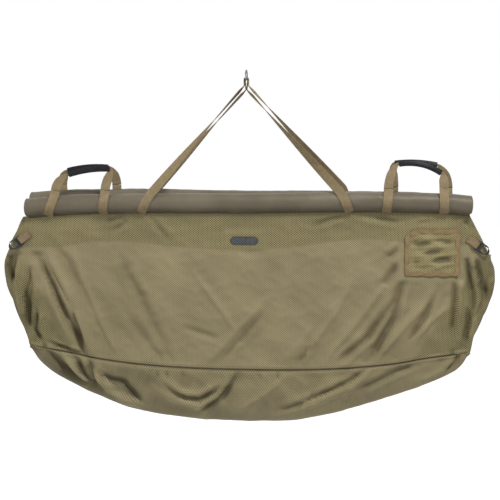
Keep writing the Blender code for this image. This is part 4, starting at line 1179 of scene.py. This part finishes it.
def make_bag_side(front):
    word = words[front]
    columns, rows = 321, 149
    s = np.linspace(-1, 1, columns)[None]
    v = np.linspace(0, 1, rows)[:, None]
    top = top_z + tube_bow(s * hem_half) + tube_hang(s * hem_half, front) + 0.0015
    z = mix(top, seam_height(s * foot_half), v)
    edge_top = top_z + tube_bow(np.sign(s) * hem_half) + tube_hang(np.sign(s) * hem_half, front)
    edge_z = mix(np.where(s == 0, top_z, edge_top), zip_foot_z, v)
    half = bag_half(edge_z)
    flat_x = s * half
    x = flat_x + lobe(s, mix(edge_top, zip_foot_z - 0.004, v), half)
    folds, painted_fold_tone = fold_field(x * (-1 if front > 0 else 1), z, front_folds)
    folds *= 1.5
    slow = crumple(x, z, 11 + front, 14, 0.06, 0.18)
    fine = crumple(x, z, 17 + front, 12, 0.018, 0.05)
    folds += (0.0030 * slow + 0.0005 * fine) * ease(0.0, 0.12, v)
    sides = ease(0.74, 0.9, np.abs(s))
    folds += 0.0022 * sides * crumple(x * 1.8, z * 0.7, 23 + front, 12, 0.03, 0.08) * ease(0.05, 0.3, v)
    gathers = np.sin(x * 210 + 2 * np.sin(x * 37)) * np.exp(-(((top_z - z) / 0.020) ** 2))
    folds += 0.0011 * gathers
    above_seam = z - seam_height(x)
    folds += 0.0010 * seam_puckers(x, above_seam)
    folds *= keep_clear(x, z, front) * ease(0.0, 0.06, v) * (1 - ease(0.965, 1.0, v))
    folds *= 1 - ease(0.978, 1.0, np.abs(s))
    out = ease(0.86, 0.95, np.abs(s)) * (1 - ease(0.96, 1.0, np.abs(s)))
    bulge = 0.004 * out * ease(0.1, 0.4, v)
    y = bag_y(flat_x, z) + folds + bulge - 0.0045 * ease(0.985, 1.0, v)
    belly = 0.004 * np.sin(np.pi * ease(0.1, 1.0, v)) * (1 - (flat_x / 0.62) ** 2)
    y = y + belly * ease(0.0, 0.1, 1 - v)
    y = np.maximum(y, 0.004)
    points = np.stack([x, front * y, z], 2)
    boundary = np.interp(x * 1000, *np.array(liner_line).T) / 1000
    inner = 1 - ease(0.96, 1.0, np.abs(x) / np.maximum(fold_half(z) + 0.05, 0.1))
    liner = ease(-0.003, 0.003, boundary - z) * inner
    # The crease attribute is painted light: painted shade in fold valleys and crumple troughs, a painted
    # highlight on fold ridges and crumple crests, and painted shade towards the bag's folded-back ends. Less
    # of it lies under the pocket, badge and tabs.
    crease = 0.62 * painted_fold_tone - 0.10 * slow - 0.03 * fine + 0.25 * ease(0.84, 0.98, np.abs(s))
    crease *= 1 - 0.8 * (1 - keep_clear(x, z, front))
    # Painted shadow along the bottom seam's line, and painted shade at the two pinches in the seam.
    crease = np.maximum(crease, ease(0.986, 0.998, v) * (1 - ease(0.555, 0.58, np.abs(x))))
    pinch = np.minimum(np.hypot(np.abs(x) - 0.556, above_seam), np.hypot(x + 0.437, above_seam))
    crease = np.maximum(crease, 0.9 * np.exp(-((pinch / 0.010) ** 2)))
    uv = np.stack([x, z], 2).reshape(-1, 2)
    cloth = mesh_object(
        word + "_bag_cloth",
        points.reshape(-1, 3),
        grid_faces(rows, columns, flip=front > 0),
        bag_finish,
        uv,
        {"liner": liner, "crease": np.clip(crease, -1, 1)},
    )
    thicken(cloth, cloth_thickness)
    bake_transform(cloth)
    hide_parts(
        word + "_mesh_band",
        word + "_panel",
        "left_" + word + "_end_panel",
        "right_" + word + "_end_panel",
    )
    return cloth


front_cloth = make_bag_side(-1)
rear_cloth = make_bag_side(1)
print("bag sides:", len(front_cloth.data.polygons), "faces each")

# %% [markdown]
# ## Bottom gusset
#
# The gusset is a leaf-shaped cut sewn between the two sides. Empty, it hangs as a soft trough whose spare
# width gathers into scallops under the seam.


# %% Gusset
def make_gusset():
    columns, rows = 281, 91
    s = np.linspace(-1, 1, columns)[None]
    t = np.linspace(0, 1, rows)[:, None] * math.pi
    flat_x = s * foot_half + 0 * t
    across, fall = -np.cos(t), np.sin(t)
    seam = seam_height(flat_x) - 0.0002
    end = lobe(s, np.full_like(s, zip_foot_z - 0.004), foot_half)
    x = flat_x + end
    depth = seam - np.interp(x, bottom_x, bottom_line)
    depth = depth * np.sqrt(1 - 0.97 * ease(0.952, 1.0, np.abs(s)) ** 2)
    wide = bag_y(flat_x, seam_height(flat_x))
    close = np.sqrt(np.maximum(1 - ease(0.975, 1.0, np.abs(s)) ** 2, 0.0))
    y = across * wide * mix(0.2, 1.0, close) * (1 + 0.12 * fall)
    z = seam - fall * depth
    folds, painted_fold_tone = fold_field(x, z, gusset_folds)
    facing = ease(0.0, 0.35, -across)
    behind = ease(0.0, 0.35, across)
    back_folds, back_painted_fold_tone = fold_field(-x, z, gusset_folds)
    slow, fine = crumple(x, z + y, 31, 14, 0.05, 0.15), crumple(x, z + y, 37, 12, 0.02, 0.05)
    calm = 1 - 0.75 * ease(0.75, 0.97, fall)
    height = 1.5 * calm * (folds * facing + back_folds * behind)
    height += (0.0028 * slow + 0.0006 * fine) * calm * ease(0, 0.2, fall)
    height += 0.0012 * seam_puckers(x, z - seam) * ease(0, 0.06, fall)
    height *= ease(0.0, 0.10, fall) * (1 - ease(0.97, 1.0, np.abs(s)))
    tuck = -0.0045 * (1 - ease(0.0, 0.06, fall))
    points = np.stack([x, y, z], 2)
    normal = grid_normals(points)
    middle = normal[rows // 2, columns // 2]
    if middle[2] > 0:
        normal = -normal
    points = points + normal * (height + tuck)[:, :, None]
    # The crease attribute is painted light: painted shade in fold valleys and crumple troughs, a painted
    # highlight on crests, on both faces.
    crease = (painted_fold_tone * facing + back_painted_fold_tone * behind) * 0.7 - 0.10 * slow - 0.04 * fine
    # Painted shade over the gusset, deeper on its left and turning into a painted highlight towards its
    # right.
    crease += 0.12 - 0.35 * (x / 0.6) * ease(0.05, 0.3, fall)
    # Painted shadow along the seam at the top of the gusset.
    painted_seam_shadow = (1 - ease(0.0, 0.05, fall)) * (1 - ease(0.555, 0.58, np.abs(x)))
    crease = np.clip(np.maximum(crease, painted_seam_shadow), -1, 1)
    uv = np.stack([x, t * 0.09 + 0 * x], 2).reshape(-1, 2)
    cloth = mesh_object(
        "bottom_gusset_cloth",
        points.reshape(-1, 3),
        grid_faces(rows, columns),
        bag_finish,
        uv,
        {"liner": np.full_like(x, 0.85), "crease": crease},
    )
    thicken(cloth, cloth_thickness)
    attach(cloth, "sling")
    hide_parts("bottom_gusset")
    return cloth


gusset = make_gusset()
print("gusset:", len(gusset.data.polygons), "faces")

# %% [markdown]
# ## Stitches and zip teeth in Geometry Nodes
#
# Stitching and zip teeth are the same rule: one small form repeated along a path and turned with it. The
# tree takes a path of edges, a spacing and a size, places a rounded bar at each step and joins them.


# %% Row tree
def build_row_tree():
    tree = new_tree("row_along_path")
    names = {
        "Spacing": add_input(tree, "Spacing", "Float", 0.004),
        "Length": add_input(tree, "Length", "Float", 0.003),
        "Width": add_input(tree, "Width", "Float", 0.0008),
        "Height": add_input(tree, "Height", "Float", 0.0008),
        "Finish": add_input(tree, "Finish", "Material", None),
    }
    start = tree.nodes.new("NodeGroupInput")
    path = node(tree, "GeometryNodeMeshToCurve", {"Mesh": start.outputs["Geometry"]})
    steps = node(
        tree,
        "GeometryNodeResampleCurve",
        {"Curve": path.outputs[0], "Length": start.outputs["Spacing"]},
        mode="LENGTH",
    )
    tangent = node(tree, "GeometryNodeInputTangent")
    turn = node(tree, "FunctionNodeAlignRotationToVector", {"Vector": tangent.outputs[0]}, axis="X")
    ball = node(tree, "GeometryNodeMeshIcoSphere", {"Radius": 0.5, "Subdivisions": 1})
    size = node(
        tree,
        "ShaderNodeCombineXYZ",
        {0: start.outputs["Length"], 1: start.outputs["Width"], 2: start.outputs["Height"]},
    )
    placed = node(
        tree,
        "GeometryNodeInstanceOnPoints",
        {
            "Points": steps.outputs[0],
            "Instance": ball.outputs[0],
            "Rotation": turn.outputs[0],
            "Scale": size.outputs[0],
        },
    )
    whole = node(tree, "GeometryNodeRealizeInstances", {0: placed.outputs[0]})
    smooth = node(tree, "GeometryNodeSetShadeSmooth", {0: whole.outputs[0]})
    painted = node(
        tree, "GeometryNodeSetMaterial", {"Geometry": smooth.outputs[0], "Material": start.outputs["Finish"]}
    )
    finish = tree.nodes.new("NodeGroupOutput")
    tree.links.new(painted.outputs[0], finish.inputs[0])
    return tree, names


row_tree, row_inputs = build_row_tree()


def make_row(name, lines, finish, spacing=0.0042, length=0.0031, width=0.0009, height=0.0007):
    """One mesh of small forms along several lines."""
    points, edges = [], []
    for line in lines:
        first = len(points)
        points += [tuple(map(float, p)) for p in line]
        edges += [(first + i, first + i + 1) for i in range(len(line) - 1)]
    row = mesh_object(name, points, [], finish, edges=edges)
    values = {"Spacing": spacing, "Length": length, "Width": width, "Height": height, "Finish": finish}
    return run_tree(row, row_tree, row_inputs, values)


# %% [markdown]
# ## End zips
#
# Each end is closed by a zip along a curve: two woven tapes, each with a row of teeth on its inner edge,
# and a slider whose post runs between the rows. The slider, its bail and the pull come from the CAD.


# %% Zips
def zip_line(side, front, off):
    """A line along an end zip's arc, so far off the centre plane."""
    first = math.asin((band_z - zip_centre_z) / zip_radius)
    last = math.asin((zip_foot_z - zip_centre_z) / zip_radius)
    turns = np.linspace(first, last, 90)
    x = side * (zip_centre_half + zip_radius * np.cos(turns))
    z = zip_centre_z + zip_radius * np.sin(turns)
    return np.stack([x, np.full_like(x, front * off), z], 1)


def make_zip(side, front):
    stem = ends[side] + "_" + words[front]
    tape_off = 0.0065
    line = zip_line(side, front, tape_off)
    ups = line - np.array((side * zip_centre_half, front * tape_off, zip_centre_z))
    tape = sweep(stem + "_tape", line, ups, flat_profile(0.0112, 0.0010, 4), tape_finish)
    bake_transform(tape)
    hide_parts(stem + "_zip_tape")
    teeth = make_row(
        stem + "_teeth", [zip_line(side, front, 0.0021)], teeth_finish, 0.0024, 0.0017, 0.0030, 0.0025
    )
    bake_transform(teeth)


for side in (-1, 1):
    for front in (-1, 1):
        make_zip(side, front)
print("zips made")


# %% [markdown]
# ## Moulded and metal parts
#
# The clips, gates, sliders and pulls keep the CAD's own shape. A copy of each gets softened edges, which
# catch the light as moulded plastic and die-cast metal do.


# %% Softened parts
def soften(name, width, finish, body):
    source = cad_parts[name]
    mesh = source.data.copy()
    mesh.transform(source.matrix_world)
    work = bmesh.new()
    work.from_mesh(mesh)
    bmesh.ops.remove_doubles(work, verts=work.verts, dist=1e-5)
    bmesh.ops.dissolve_limit(work, angle_limit=math.radians(3), verts=work.verts, edges=work.edges)
    work.to_mesh(mesh)
    work.free()
    mesh.materials.clear()
    mesh.materials.append(finish)
    made = bpy.data.objects.new(name + "_soft", mesh)
    bpy.context.collection.objects.link(made)
    step = made.modifiers.new("edges", "BEVEL")
    step.width = width
    step.segments = 2
    step.limit_method = "ANGLE"
    step.angle_limit = math.radians(40)
    bake(made)
    made.data.shade_smooth()
    made.data.set_sharp_from_angle(angle=math.radians(50))
    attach(made, body)
    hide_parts(name)


for word in ("left", "right"):
    soften(word + "_clip_body", 0.0007, plastic_finish, word + "_clip")
    soften(word + "_clip_gate", 0.0005, plastic_finish, word + "_gate")
    soften(word + "_zip_slider", 0.0002, slider_finish, word + "_slider")
    soften(word + "_zip_pull", 0.0003, slider_finish, word + "_pull")
print("softened parts made")

# %% [markdown]
# ## Tabs, pocket and badge
#
# A short webbing tab holds each clip's bar. The small pocket is a piece of the same mesh under a binding
# tape with its upper inner corner cut off, and the badge is a bare slate plate with rounded ends.

# %% Tabs
tab_slope = math.radians(35)
tab_length = 0.030
clip_bar_reach = 0.0031


def make_tab(side):
    along = np.array((side * math.cos(tab_slope), 0, -math.sin(tab_slope)))
    across = np.array((side * math.sin(tab_slope), 0, math.cos(tab_slope)))
    half_place = tube_half - tab_end_inset
    seat_z = top_z - 0.060
    steps = np.linspace(0, tab_length, 9)
    low_x = half_place + steps * math.cos(tab_slope) - tab_width / 2 * math.sin(tab_slope)
    low_z = seat_z - steps * math.sin(tab_slope) - tab_width / 2 * math.cos(tab_slope)
    face_y = float(np.max(bag_y(low_x, low_z))) + cad_sheet_half + seat_gap
    back = face_y + webbing_thickness / 2
    bar_y = face_y + webbing_thickness + clip_bar_reach
    turn_radius = clip_bar_reach + webbing_thickness / 2
    front_y = back + webbing_thickness + seat_gap
    seat = np.array((side * half_place, 0, seat_z))
    path = [(0.0, back), (tab_length * 0.5, back), (tab_length, back)]
    for i in range(1, 13):
        turn = math.pi * i / 12
        path.append((tab_length + turn_radius * math.sin(turn), bar_y - turn_radius * math.cos(turn)))
    path += [(tab_length * 0.72, bar_y + turn_radius - 0.001), (tab_length * 0.40, front_y), (0.0, front_y)]
    centres = [seat + along * s - np.array((0, y, 0)) for s, y in path]
    ups = [np.cross(step, across) for step in np.gradient(np.array(centres), axis=0)]
    word = ends[side]
    tab = sweep(word + "_tab", centres, ups, flat_profile(tab_width, webbing_thickness - 0.0004), tab_finish)
    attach(tab, "front_side")
    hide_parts(word + "_clip_tab")
    face = -(front_y + webbing_thickness / 2 + 0.0002)
    box = []
    for s, u in ((0.0015, -0.0085), (0.0015, 0.0085), (0.0115, 0.0085), (0.0115, -0.0085), (0.0015, -0.0085)):
        box.append(seat + along * s + across * u + np.array((0, face, 0)))
    return box


tab_boxes = [make_tab(-1), make_tab(1)]


# %% Pocket
def front_face_y(z):
    down = ease(0, 1, (top_z - z) / (top_z - seam_z))
    return mix(tube_y, bag_half_depth, down) + bag_crown * down + cad_sheet_half


pocket_width = 0.144
pocket_height = 0.124
pocket_drop = 0.038
pocket_tab_gap = 0.020
pocket_right = tube_half - tab_end_inset - pocket_tab_gap
pocket_left = pocket_right - pocket_width
pocket_top = top_z - pocket_drop
pocket_low = pocket_top - pocket_height


def pocket_line(inset, off):
    """The pocket's border, set in by so much, with its upper inner corner cut off."""
    left, right = pocket_left + inset, pocket_right - inset
    top, low = pocket_top - inset, pocket_low + inset
    corner = 0.022 - inset * (2 - math.sqrt(2))
    ends_at = [(left, low), (left, top - corner), (left + corner, top), (right, top), (right, low)]
    ends_at.append(ends_at[0])
    line = []
    for (ax, az), (bx, bz) in zip(ends_at, ends_at[1:]):
        for share in np.linspace(0, 1, 18)[:-1]:
            line.append((mix(ax, bx, share), mix(az, bz, share)))
    found = []
    for x, z in line:
        y = float(front_face_y(np.array(z))) + off + 0.0013 * (1 + math.sin(x * 190 + z * 150))
        found.append((x + 0.0011 * math.sin(z * 260), -y, z + 0.0013 * math.sin(x * 150 + 1)))
    return np.array(found)


def make_pocket():
    rows, columns = 61, 61
    inset = 0.004
    left, right = pocket_left + inset, pocket_right - inset
    top, low = pocket_top - inset, pocket_low + inset
    v = np.linspace(0, 1, rows)[:, None]
    s = np.linspace(0, 1, columns)[None]
    z = mix(top, low, v) + 0 * s
    start = left + np.maximum(0.020 - (top - z), 0)
    x = mix(start, right, s)
    hump = 0.0055 * (np.sin(math.pi * s) * np.sin(math.pi * v)) ** 0.6
    inside = np.minimum(1, 6 * s * (1 - s)) * np.minimum(1, 6 * v * (1 - v))
    wrinkle = 0.0026 * crumple(x * 0.6, z * 1.5, 71, 9, 0.025, 0.07) * inside
    y = -(front_face_y(z) + 0.0020 + hump + wrinkle)
    uv = np.stack([x, z], 2).reshape(-1, 2)
    # The crease value is painted shade in the troughs of the pocket's wrinkles.
    values = {"liner": np.zeros_like(x), "crease": 0.8 * ease(0.0010, 0.0055, -wrinkle) + 0 * x}
    points = np.stack([x, y, z], 2).reshape(-1, 3)
    pocket = mesh_object("pocket_cloth", points, grid_faces(rows, columns), pocket_finish, uv, values)
    thicken(pocket, cloth_thickness)
    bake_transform(pocket)
    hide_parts("pocket_mesh")
    line = pocket_line(0.006, 0.0018)
    outward = np.tile((0.0, -1.0, 0.0), (len(line), 1))
    profile = flat_profile(binding_width, 0.0024, 6)
    binding = sweep("pocket_tape", line, outward, profile, binding_finish, closed=True)
    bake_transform(binding)
    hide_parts("pocket_binding")


make_pocket()


# %% Badge
def make_badge():
    middle_x, middle_z = -0.004, top_z - 0.073
    half_length, end_radius = 0.037, 0.0105
    seat = float(front_face_y(np.array(middle_z))) + seat_gap
    places = []
    for end in (1, -1):
        for turn in np.linspace(-math.pi / 2, math.pi / 2, 20):
            turn = turn + (0 if end > 0 else math.pi)
            centre = end * (half_length - end_radius)
            places.append((centre + end_radius * math.cos(turn), end_radius * math.sin(turn)))
    places = np.array(places)
    layers = ((1.0, 0.0), (1.0, 0.0012), (0.985, 0.0018), (0.955, 0.0021), (0.93, 0.0019), (0.90, 0.0015))
    layers += ((0.5, 0.00155),)
    points, faces = [], []
    count = len(places)
    for share, off in layers:
        reach = np.hypot(places[:, 0], places[:, 1])
        inset = (1 - share) * end_radius / np.maximum(reach, 1e-9)
        if share > 0.8:
            ring = places * (1 - inset[:, None])
        else:
            ring = places * share
        points += [(middle_x + px, -(seat + off), middle_z + pz) for px, pz in ring]
    faces.append(tuple(range(count)))
    for i in range(len(layers) - 1):
        for j in range(count):
            k = (j + 1) % count
            faces.append((i * count + j, i * count + k, (i + 1) * count + k, (i + 1) * count + j))
    last = (len(layers) - 1) * count
    faces.append(tuple(range(last, last + count)))
    badge = turn_outward(mesh_object("slate_badge", points, faces, [rim_finish, badge_finish]))
    badge.data.set_sharp_from_angle(angle=math.radians(35))
    for face in badge.data.polygons:
        face.material_index = 1 if face.index > 4 * count else 0
    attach(badge, "front_side")
    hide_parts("badge")


make_badge()
print("tabs, pocket and badge made")

# %% [markdown]
# ## Sewing
#
# Rows of stitches hold the whole sling together: along both hems, in boxes on each strap and handle foot,
# round the pocket's tape, on the tabs and above the bottom seam. Each kind of row on a body is one mesh.


# %% Stitch rows
def ribbon_box(x, front):
    """A rectangle of stitches with a cross in it, on webbing wrapped round a tube at x."""
    half, lift = 0.0095, 0.0014
    hang = tube_bow(x) + tube_hang(x, front)

    def on_wrap(u, turn):
        reach = wrap_radius + lift
        y = front * (tube_y + reach * math.cos(turn))
        return (x + u, y, tube_z + reach * math.sin(turn) + hang)

    high, low = math.radians(8), math.radians(-52)
    rows = []
    for u in (-half, half):
        rows.append([on_wrap(u, t) for t in np.linspace(high, low, 14)])
    for t in (high, low):
        rows.append([on_wrap(u, t) for u in np.linspace(-half, half, 8)])
    rows.append([on_wrap(mix(-half, half, i / 13), mix(high, low, i / 13)) for i in range(14)])
    rows.append([on_wrap(mix(half, -half, i / 13), mix(high, low, i / 13)) for i in range(14)])
    return rows


def sew_side(front):
    lines = []
    for side in (-1, 1):
        centre = grip_feet[side, front][0]
        lines += ribbon_box(centre - foot_half_spread, front) + ribbon_box(centre + foot_half_spread, front)
        lines += ribbon_box(side * 0.268, front)
    row = make_row(words[front] + "_webbing_stitches", lines, thread_finish)
    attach(row, rides[front])
    xs = np.linspace(-tube_half + 0.006, tube_half - 0.006, 160)
    low = tube_z - tube_radius - 0.0022 + tube_bow(xs) + tube_hang(xs, front)
    hem = np.stack([xs, np.full_like(xs, front * (tube_y + 0.0018)), low], 1)
    row = make_row(words[front] + "_hem_stitches", [hem], dark_thread_finish, 0.0045)
    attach(row, rides[front])


sew_side(-1)
sew_side(1)
row = make_row("tab_stitches", tab_boxes, thread_finish, 0.0034, 0.0026)
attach(row, "front_side")
row = make_row("pocket_stitches", [pocket_line(0.0022, 0.0032), pocket_line(0.0098, 0.0032)], thread_finish)
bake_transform(row)


def topstitch(front):
    """The row of stitches a finger's width above the bottom seam, on the cloth as it lies there."""
    xs = np.linspace(-0.53, 0.53, 260)
    zs = seam_height(xs) + 0.0095
    cloth = front_cloth if front < 0 else rear_cloth
    places = np.empty(len(cloth.data.vertices) * 3)
    cloth.data.vertices.foreach_get("co", places)
    places = places.reshape(-1, 3)
    line = []
    for x, z in zip(xs, zs):
        near = np.hypot(places[:, 0] - x, places[:, 2] - z)
        found = places[near < 0.005]
        line.append((x, front * (np.max(front * found[:, 1]) + 0.0002), z))
    return line


for front in (-1, 1):
    line = topstitch(front)
    row = make_row(words[front] + "_seam_stitches", [line], dark_thread_finish, 0.0052, 0.0036, 0.0012)
    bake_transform(row)

print("stitches made")

# %% [markdown]
# ## Studio
#
# A pale floor lies far below. The stronger light stands high in front, to the right, and the weaker one to
# the left. The floor and the background are lit by themselves for the camera, so that they look white.


# %% Floor, light and background
def make_floor():
    size = 20.0
    floor_z = -1.6
    corners = [(-size, -size, floor_z), (size, -size, floor_z), (size, size, floor_z), (-size, size, floor_z)]
    tree = Tree("pale_floor")
    shader = tree.shader
    tree.put(shader.inputs["Base Color"], (0.9, 0.9, 0.9))
    tree.put(shader.inputs["Roughness"], 0.9)
    tree.put(shader.inputs["Specular IOR Level"], 0.0)
    path = tree.add("LightPath")
    seen = tree.math("MAXIMUM", path.outputs["Is Camera Ray"], path.outputs["Is Glossy Ray"])
    seen = tree.math("MAXIMUM", seen, path.outputs["Is Transmission Ray"])
    tree.put(shader.inputs["Emission Color"], (1.0, 1.0, 1.0))
    tree.put(shader.inputs["Emission Strength"], tree.math("MULTIPLY", seen, 0.78))
    floor = mesh_object("studio_floor", corners, [(0, 1, 2, 3)], tree.material, smooth=False)


def make_light(name, place, size, power, target=(0, 0, -0.5)):
    data = bpy.data.lights.new(name, "AREA")
    data.shape = "DISK"
    data.size = size
    data.energy = power
    light = bpy.data.objects.new(name, data)
    bpy.context.collection.objects.link(light)
    light.location = place
    light.rotation_euler = (Vector(target) - Vector(place)).to_track_quat("-Z", "Y").to_euler()


def make_world():
    world = bpy.data.worlds.new("studio")
    bpy.context.scene.world = world
    world.use_nodes = True
    tree = world.node_tree
    back = tree.nodes["Background"]
    back.inputs["Color"].default_value = (1, 1, 1, 1)
    path = tree.nodes.new("ShaderNodeLightPath")
    choose = tree.nodes.new("ShaderNodeMix")
    choose.inputs[2].default_value = 0.25
    choose.inputs[3].default_value = 1.0
    seen = tree.nodes.new("ShaderNodeMath")
    seen.operation = "MAXIMUM"
    tree.links.new(path.outputs["Is Camera Ray"], seen.inputs[0])
    tree.links.new(path.outputs["Is Glossy Ray"], seen.inputs[1])
    either = tree.nodes.new("ShaderNodeMath")
    either.operation = "MAXIMUM"
    tree.links.new(seen.outputs[0], either.inputs[0])
    tree.links.new(path.outputs["Is Transmission Ray"], either.inputs[1])
    tree.links.new(either.outputs[0], choose.inputs[0])
    tree.links.new(choose.outputs[0], back.inputs["Strength"])


make_floor()
make_light("key_light", (1.3, -1.9, 2.2), 0.6, 82)
make_light("side_light", (-2.6, -1.3, 0.6), 0.8, 24)
make_world()
bpy.context.scene.view_settings.view_transform = "Standard"
print("studio made")
